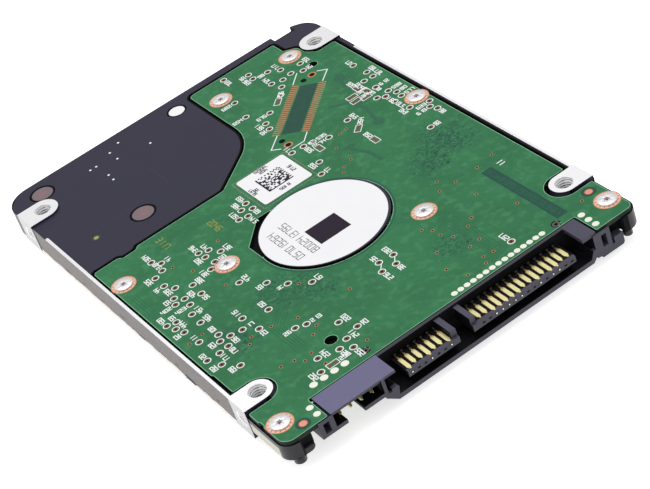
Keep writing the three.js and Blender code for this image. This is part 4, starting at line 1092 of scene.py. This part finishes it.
def make_motor_label():
    low, high = box_mm("motor_label")
    disc = Solids().disc(SPINDLE.x - 0.2, SPINDLE.y, (high.x - low.x) / 2, low.z, high.z, 128, chamfer=0.02)
    piece_of("motor_label_finished", disc, "label", replaces=["motor_label"])
    ink = Solids(high.z - SINK).strip(-3.8, 2.4, -14.1, -8.7, SINK + LIFT)
    piece_of("motor_label_print", ink, "print")
    grey = Solids(high.z - SINK)
    for text, x in (("8002413795", -5.3), ("057019264", -8.0)):
        write_digits(grey, text, (x, -9.2), 1.45, 90, 0.14)
    piece_of("motor_label_digits", grey, "label_grey")


make_board()
make_board_screws()
make_sticker()
make_motor_label()


# ------------------------------------------------------------------ serial connector

CONTACT_ROWS = {"signal": (-11.27, 7, (1, 4, 7)), "power": (2.7, 15, (3, 4, 5, 6, 7, 10, 12, 13))}
CONTACT_PITCH = 1.27
TONGUE_FRONT = -50.0
BLADE_BACK = -46.4
POST_Y = -45.35
POST_PROFILE = [(0.0, 4.97), (0.34, 4.97), (0.34, 5.35), (0.24, 5.5), (0.0, 5.52)]
BLADE_BASE = box_mm("signal_contacts")[0].z


# The flat top steps back between two places on X, and the tongues' tops have painted light in front of a
# place on Y and painted shade behind it.
HOUSING_CUTS = [(0, -13.95), (0, 23.2), (1, -49.35)]


def housing_look(centre, normal):
    """0 moulded sides, 1 the flat top in painted light, 2 painted shade inside the sockets, 3 lips and tongue
    tops in painted light.
    """
    inside = -16.2 < centre.x < 25.1
    if normal.z > 0.9 and centre.z > 6.55:
        if centre.x > HOUSING_CUTS[1][1]:
            return 3
        return 0 if centre.x > HOUSING_CUTS[0][1] else 1
    if normal.z > 0.9 and inside and centre.z < 3.4:
        return 2
    if normal.z > 0.9 and inside and centre.y > HOUSING_CUTS[2][1] and centre.z < BLADE_BASE + 0.1:
        return 2
    if -25.9 < centre.x < -16.8 and centre.y > -49.9 and centre.z < 6.25:
        return 2
    if normal.z > 0.9:
        return 3
    if inside and centre.y > -45.3:
        return 2
    if inside and abs(normal.x) > 0.3 and centre.z < 6.0:
        return 2
    return 0


def contact(name, x, is_long, replaces=()):
    """One gold contact: a blade with a stepped nose, and a neck to its post at the housing's back."""
    tip = TONGUE_FRONT + (0.2 if is_long else 0.7)
    half, nose, neck = 0.37, 0.17, 0.14
    right_edge = [(nose, tip), (nose, tip + 0.25), (half, tip + 0.5), (half, BLADE_BACK - 0.3),
                  (neck, BLADE_BACK)]
    outline = [(x + dx, y) for dx, y in right_edge] + [(x - dx, y) for dx, y in reversed(right_edge)]
    solids = Solids().prism(outline, BLADE_BASE, BLADE_BASE + 0.12, chamfer=0.05)
    solids.block(x - neck, x + neck, BLADE_BACK - 0.05, -43.9, BLADE_BASE, BLADE_BASE + 0.1, chamfer=0.03)
    return piece_of(name, solids, "blade", replaces=replaces)


def jumper_pin(name, x, low, high, replaces):
    """A square pin with a pointed end."""
    shoulder, half, middle, point = low.y + 0.5, 0.25, (low.z + high.z) / 2, 0.09
    solids = Solids().block(x - half, x + half, shoulder, -44.0, low.z, high.z, chamfer=0.06)
    corners = [(-1, -1), (1, -1), (1, 1), (-1, 1)]
    solids.skin([[(x + sx * reach, y, middle + sz * rise) for sx, sz in corners]
                 for y, reach, rise in ((shoulder, half, (high.z - low.z) / 2), (low.y, point, point))])
    piece_of(name, solids, "gold", replaces=replaces)


def make_connector():
    refined("sata_housing", ["plastic", "plastic_lit_top", "plastic_shade", "plastic_half_lit"],
            bevel=0.05, choose=housing_look, cuts=HOUSING_CUTS)
    pocket_shades, glints, posts = Solids(), Solids(), Solids()
    for row, (first, count, long_ones) in CONTACT_ROWS.items():
        for i in range(count):
            x = first + i * CONTACT_PITCH
            is_long = (i + 1) in long_ones
            contact(f"{row}_contact_{i + 1}", x, is_long, [f"{row}_contacts"] if i == 0 else [])
            # A near-black patch of painted shade stands for each pocket in the tongue's front.
            pocket_shades.block(x - 0.26, x + 0.26, TONGUE_FRONT - 0.012, TONGUE_FRONT + 0.1, 4.25, 4.55)
            # A white painted glint in the pockets of the long contacts.
            if is_long:
                glints.block(x - 0.13, x + 0.13, TONGUE_FRONT - 0.02, TONGUE_FRONT, 4.31, 4.5)
            posts.turned(POST_PROFILE, (x, POST_Y), 16)
    piece_of("tongue_pocket_shade", pocket_shades, "bore")
    piece_of("pocket_glints", glints, "solder")
    piece_of("contact_posts", posts, "post")
    for i, x in enumerate(JUMPER_X):
        jumper_pin(f"jumper_pin_{i + 1}", x, *box_mm("jumper_pins"), ["jumper_pins"] if i == 0 else [])
    # A near-black block of painted shade, where the gap between the right arm and the housing lies in shadow.
    shade_block = Solids().block(28.6, 31.3, -48.3, -47.9, 0.9, 5.2, chamfer=0.1)
    piece_of("right_arm_shade_block", shade_block, "bore")


make_connector()


# ------------------------------------------------------------------ cover side

# Rows of unreadable small print on the label: left end, right end, upper edge and height of each.
LABEL_ROWS = ([(-24, 8 - row * 3, 6.6 - row * 3.4, 1.6) for row in range(4)]
              + [(-24 + row, 20 - row * 5, -13 - row * 2.2, 1.0) for row in range(3)])
LABEL_RULES = [9.9, -10.5]
BESIDE_SCREW = 3.5


def make_label_print():
    """Bars, rules, a code and rows of small print on the large label, which faces down."""
    under = box_mm("top_label")[0].z - LIFT
    ink, grey = Solids(under), Solids(under)
    random.seed(5)
    for row in range(9):
        length = 12 + random.random() * 12
        y = 31 - row * 2.1
        start = PIVOT.x + 4 if abs(y + 0.5 - PIVOT.y) < BESIDE_SCREW else -24
        grey.strip(start, start + length, y, y + 1, LIFT + SINK)
    x = 2.0
    while x < 24:
        bar = random.choice((0.2, 0.35, 0.6))
        ink.strip(x, x + bar, 24, 33, LIFT + SINK)
        x += bar + random.choice((0.25, 0.4, 0.7))
    for y in LABEL_RULES:
        ink.strip(-24, 24, y - 0.4, y, LIFT + SINK)
    matrix_code(ink, 14, -8, 9, 18)
    for left, right, y, height in LABEL_ROWS:
        grey.strip(left, right, y - height, y, LIFT + SINK)
    piece_of("label_bars", ink, "print")
    piece_of("label_lines", grey, "label_grey")


def screw_below(name, at, radius, tip):
    """A cover screw, its head down and its shank up into the casting."""
    profile = [(0.0, 0.15), (0.76, 0.13, 0.09), (0.8, 0.05, 0.09), (0.88, 0.02, 0.09), (radius - 0.1, 0.02),
               (radius, 0.08), (radius, 0.22), (radius - 0.06, 0.26), (0.8, 0.26), (0.8, tip - 0.2),
               (0.6, tip), (0.0, tip)]
    solids = Solids().turned(profile, (at.x, at.y), 60, lobes=6)
    piece_of(name + "_finished", solids, "steel", replaces=[name])


def make_cover_side():
    refined("top_cover", "cover", bevel=0.12)
    refined("cover_gasket", "rubber", bevel=0.08)
    refined("top_label", "label", bevel=0.02)
    for number in range(1, 7):
        name = f"cover_screw_{number}"
        screw_below(name, centre_of(name), 1.7, 3.6)
    screw_below("pivot_screw", PIVOT, 1.7, 2.4)
    make_label_print()


make_cover_side()


# ------------------------------------------------------------------ sealed inside

def meridian(node, centre):
    """The outline of a turned CAD node in one half plane through its axis, as [radius, height]."""
    bm = bmesh.new()
    bm.from_mesh(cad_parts[node].data)
    bmesh.ops.remove_doubles(bm, verts=bm.verts, dist=SAME_CORNER)

    def polar(vert):
        x, y = vert.co.x / MM - centre.x, vert.co.y / MM - centre.y
        return math.hypot(x, y), math.atan2(y, x)
    widest = max(bm.verts, key=lambda v: polar(v)[0])
    turn = polar(widest)[1]
    on_plane = {v for v in bm.verts if abs(math.remainder(polar(v)[1] - turn, math.tau)) < 1e-3}
    chain, current = [widest], widest
    while True:
        ahead = [e.other_vert(current) for e in current.link_edges
                 if e.other_vert(current) in on_plane and e.other_vert(current) not in chain]
        if not ahead:
            break
        current = ahead[0]
        chain.append(current)
    points = [(polar(v)[0], v.co.z / MM) for v in chain]
    closed = any(e.other_vert(current) is widest for e in current.link_edges) and len(chain) > 2
    bm.free()
    if not closed:
        points = [(0.0, points[0][1]), *points, (0.0, points[-1][1])]
    return points


def softened(points, size):
    """Cuts each corner of a closed outline back by `size` where its sides are long enough."""
    made = []
    for i, point in enumerate(points):
        here, before = Vector(point), Vector(points[i - 1])
        after = Vector(points[(i + 1) % len(points)])
        if here.x < 1e-6:
            made.append(tuple(here))
            continue
        for other in (before, after):
            reach = min(size, (other - here).length * 0.3)
            made.append(tuple(here + (other - here).normalized() * reach))
    return made


def turned_smooth(node, centre, look, body=ROOT, soft=0.06):
    """A finely turned copy of a CAD node that is a body of revolution."""
    profile = softened(meridian(node, centre), soft)
    solids = Solids().turned(profile, (centre.x, centre.y), 96)
    return piece_of(node + "_finished", solids, look, body, [node])


def make_motor():
    turned_smooth("platter", SPINDLE, "disk", "rotor", 0.1)
    turned_smooth("spindle_hub", SPINDLE, "aluminium", "rotor")
    turned_smooth("spindle_shaft", SPINDLE, "grey_steel", "rotor")
    turned_smooth("rotor_magnet", SPINDLE, "nickel", "rotor")
    turned_smooth("disk_clamp", SPINDLE, "aluminium", "rotor")
    turned_smooth("bearing_sleeve", SPINDLE, "aluminium")
    refined("clamp_screw", "steel", "rotor", bevel=0.04)
    refined("stator_core", "grey_steel", bevel=0.04)
    refined("stator_windings", wound_wire("stator_wire", SPINDLE, 0.2), bevel=0.12)


def make_actuator():
    turned_smooth("pivot_bearing", PIVOT, "grey_steel", "actuator")
    refined("pivot_shaft", "grey_steel", bevel=0.05)
    refined("head_carriage", "aluminium", "actuator", bevel=0.07)
    coil = centre_of("voice_coil")
    refined("voice_coil", wound_wire("coil_wire", coil, 0.18), "actuator", bevel=0.15)
    for level in ("lower", "upper"):
        refined(f"{level}_suspension", "grey_steel", "actuator", bevel=0.02)
        refined(f"{level}_head_slider", "chip", "actuator", bevel=0.03)
        refined(f"{level}_yoke", "nickel", bevel=0.08)
        refined(f"{level}_magnet", "nickel", bevel=0.08)
    refined("load_ramp", "natural", bevel=0.05)
    refined("latch_lever", "natural", "latch", bevel=0.06)
    refined("latch_pin", "grey_steel", bevel=0.05)
    for name in ("outer_crash_stop", "inner_crash_stop"):
        refined(name, "rubber", bevel=0.15)


def make_chips():
    for name in ("controller_chip", "memory_chip", "motor_driver_chip", "flash_chip", "head_connector"):
        refined(name, "chip")


SWELL = [(0.5, -1.0), (0.26, -0.94), (0.1, -0.7), (0.02, -0.35), (0.0, 0.0), (0.02, 0.35), (0.1, 0.7),
         (0.26, 0.94), (0.5, 1.0)]   # inset in millimetres, and height in half thicknesses


def crowned(node, look):
    """A padded copy of a CAD node that is a straight prism: both faces swell and the rim is thin."""
    bm = cad_mesh(node)
    upper = max((f for f in bm.faces if f.normal.z > 0.9), key=lambda f: f.calc_center_median().z)
    outline = [tuple(v.co.xy / MM) for v in upper.verts]
    bm.free()
    low, high = box_mm(node)
    middle, half = (low.z + high.z) / 2, (high.z - low.z) / 2
    solids = Solids().loft([(inset(outline, reach), middle + half * rise) for reach, rise in SWELL])
    piece = piece_of(node + "_finished", solids, look, replaces=[node])


def make_flex():
    """The head wiring's ribbon between the fixed connector and the turning actuator, on no body."""
    ribbon = refined("flex_cable", "flex", body=None, bevel=0.0)
    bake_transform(ribbon)


make_motor()
make_actuator()
make_chips()
for filter_pad in ("recirculation_filter", "breather_filter"):
    crowned(filter_pad, "cloth")
make_flex()
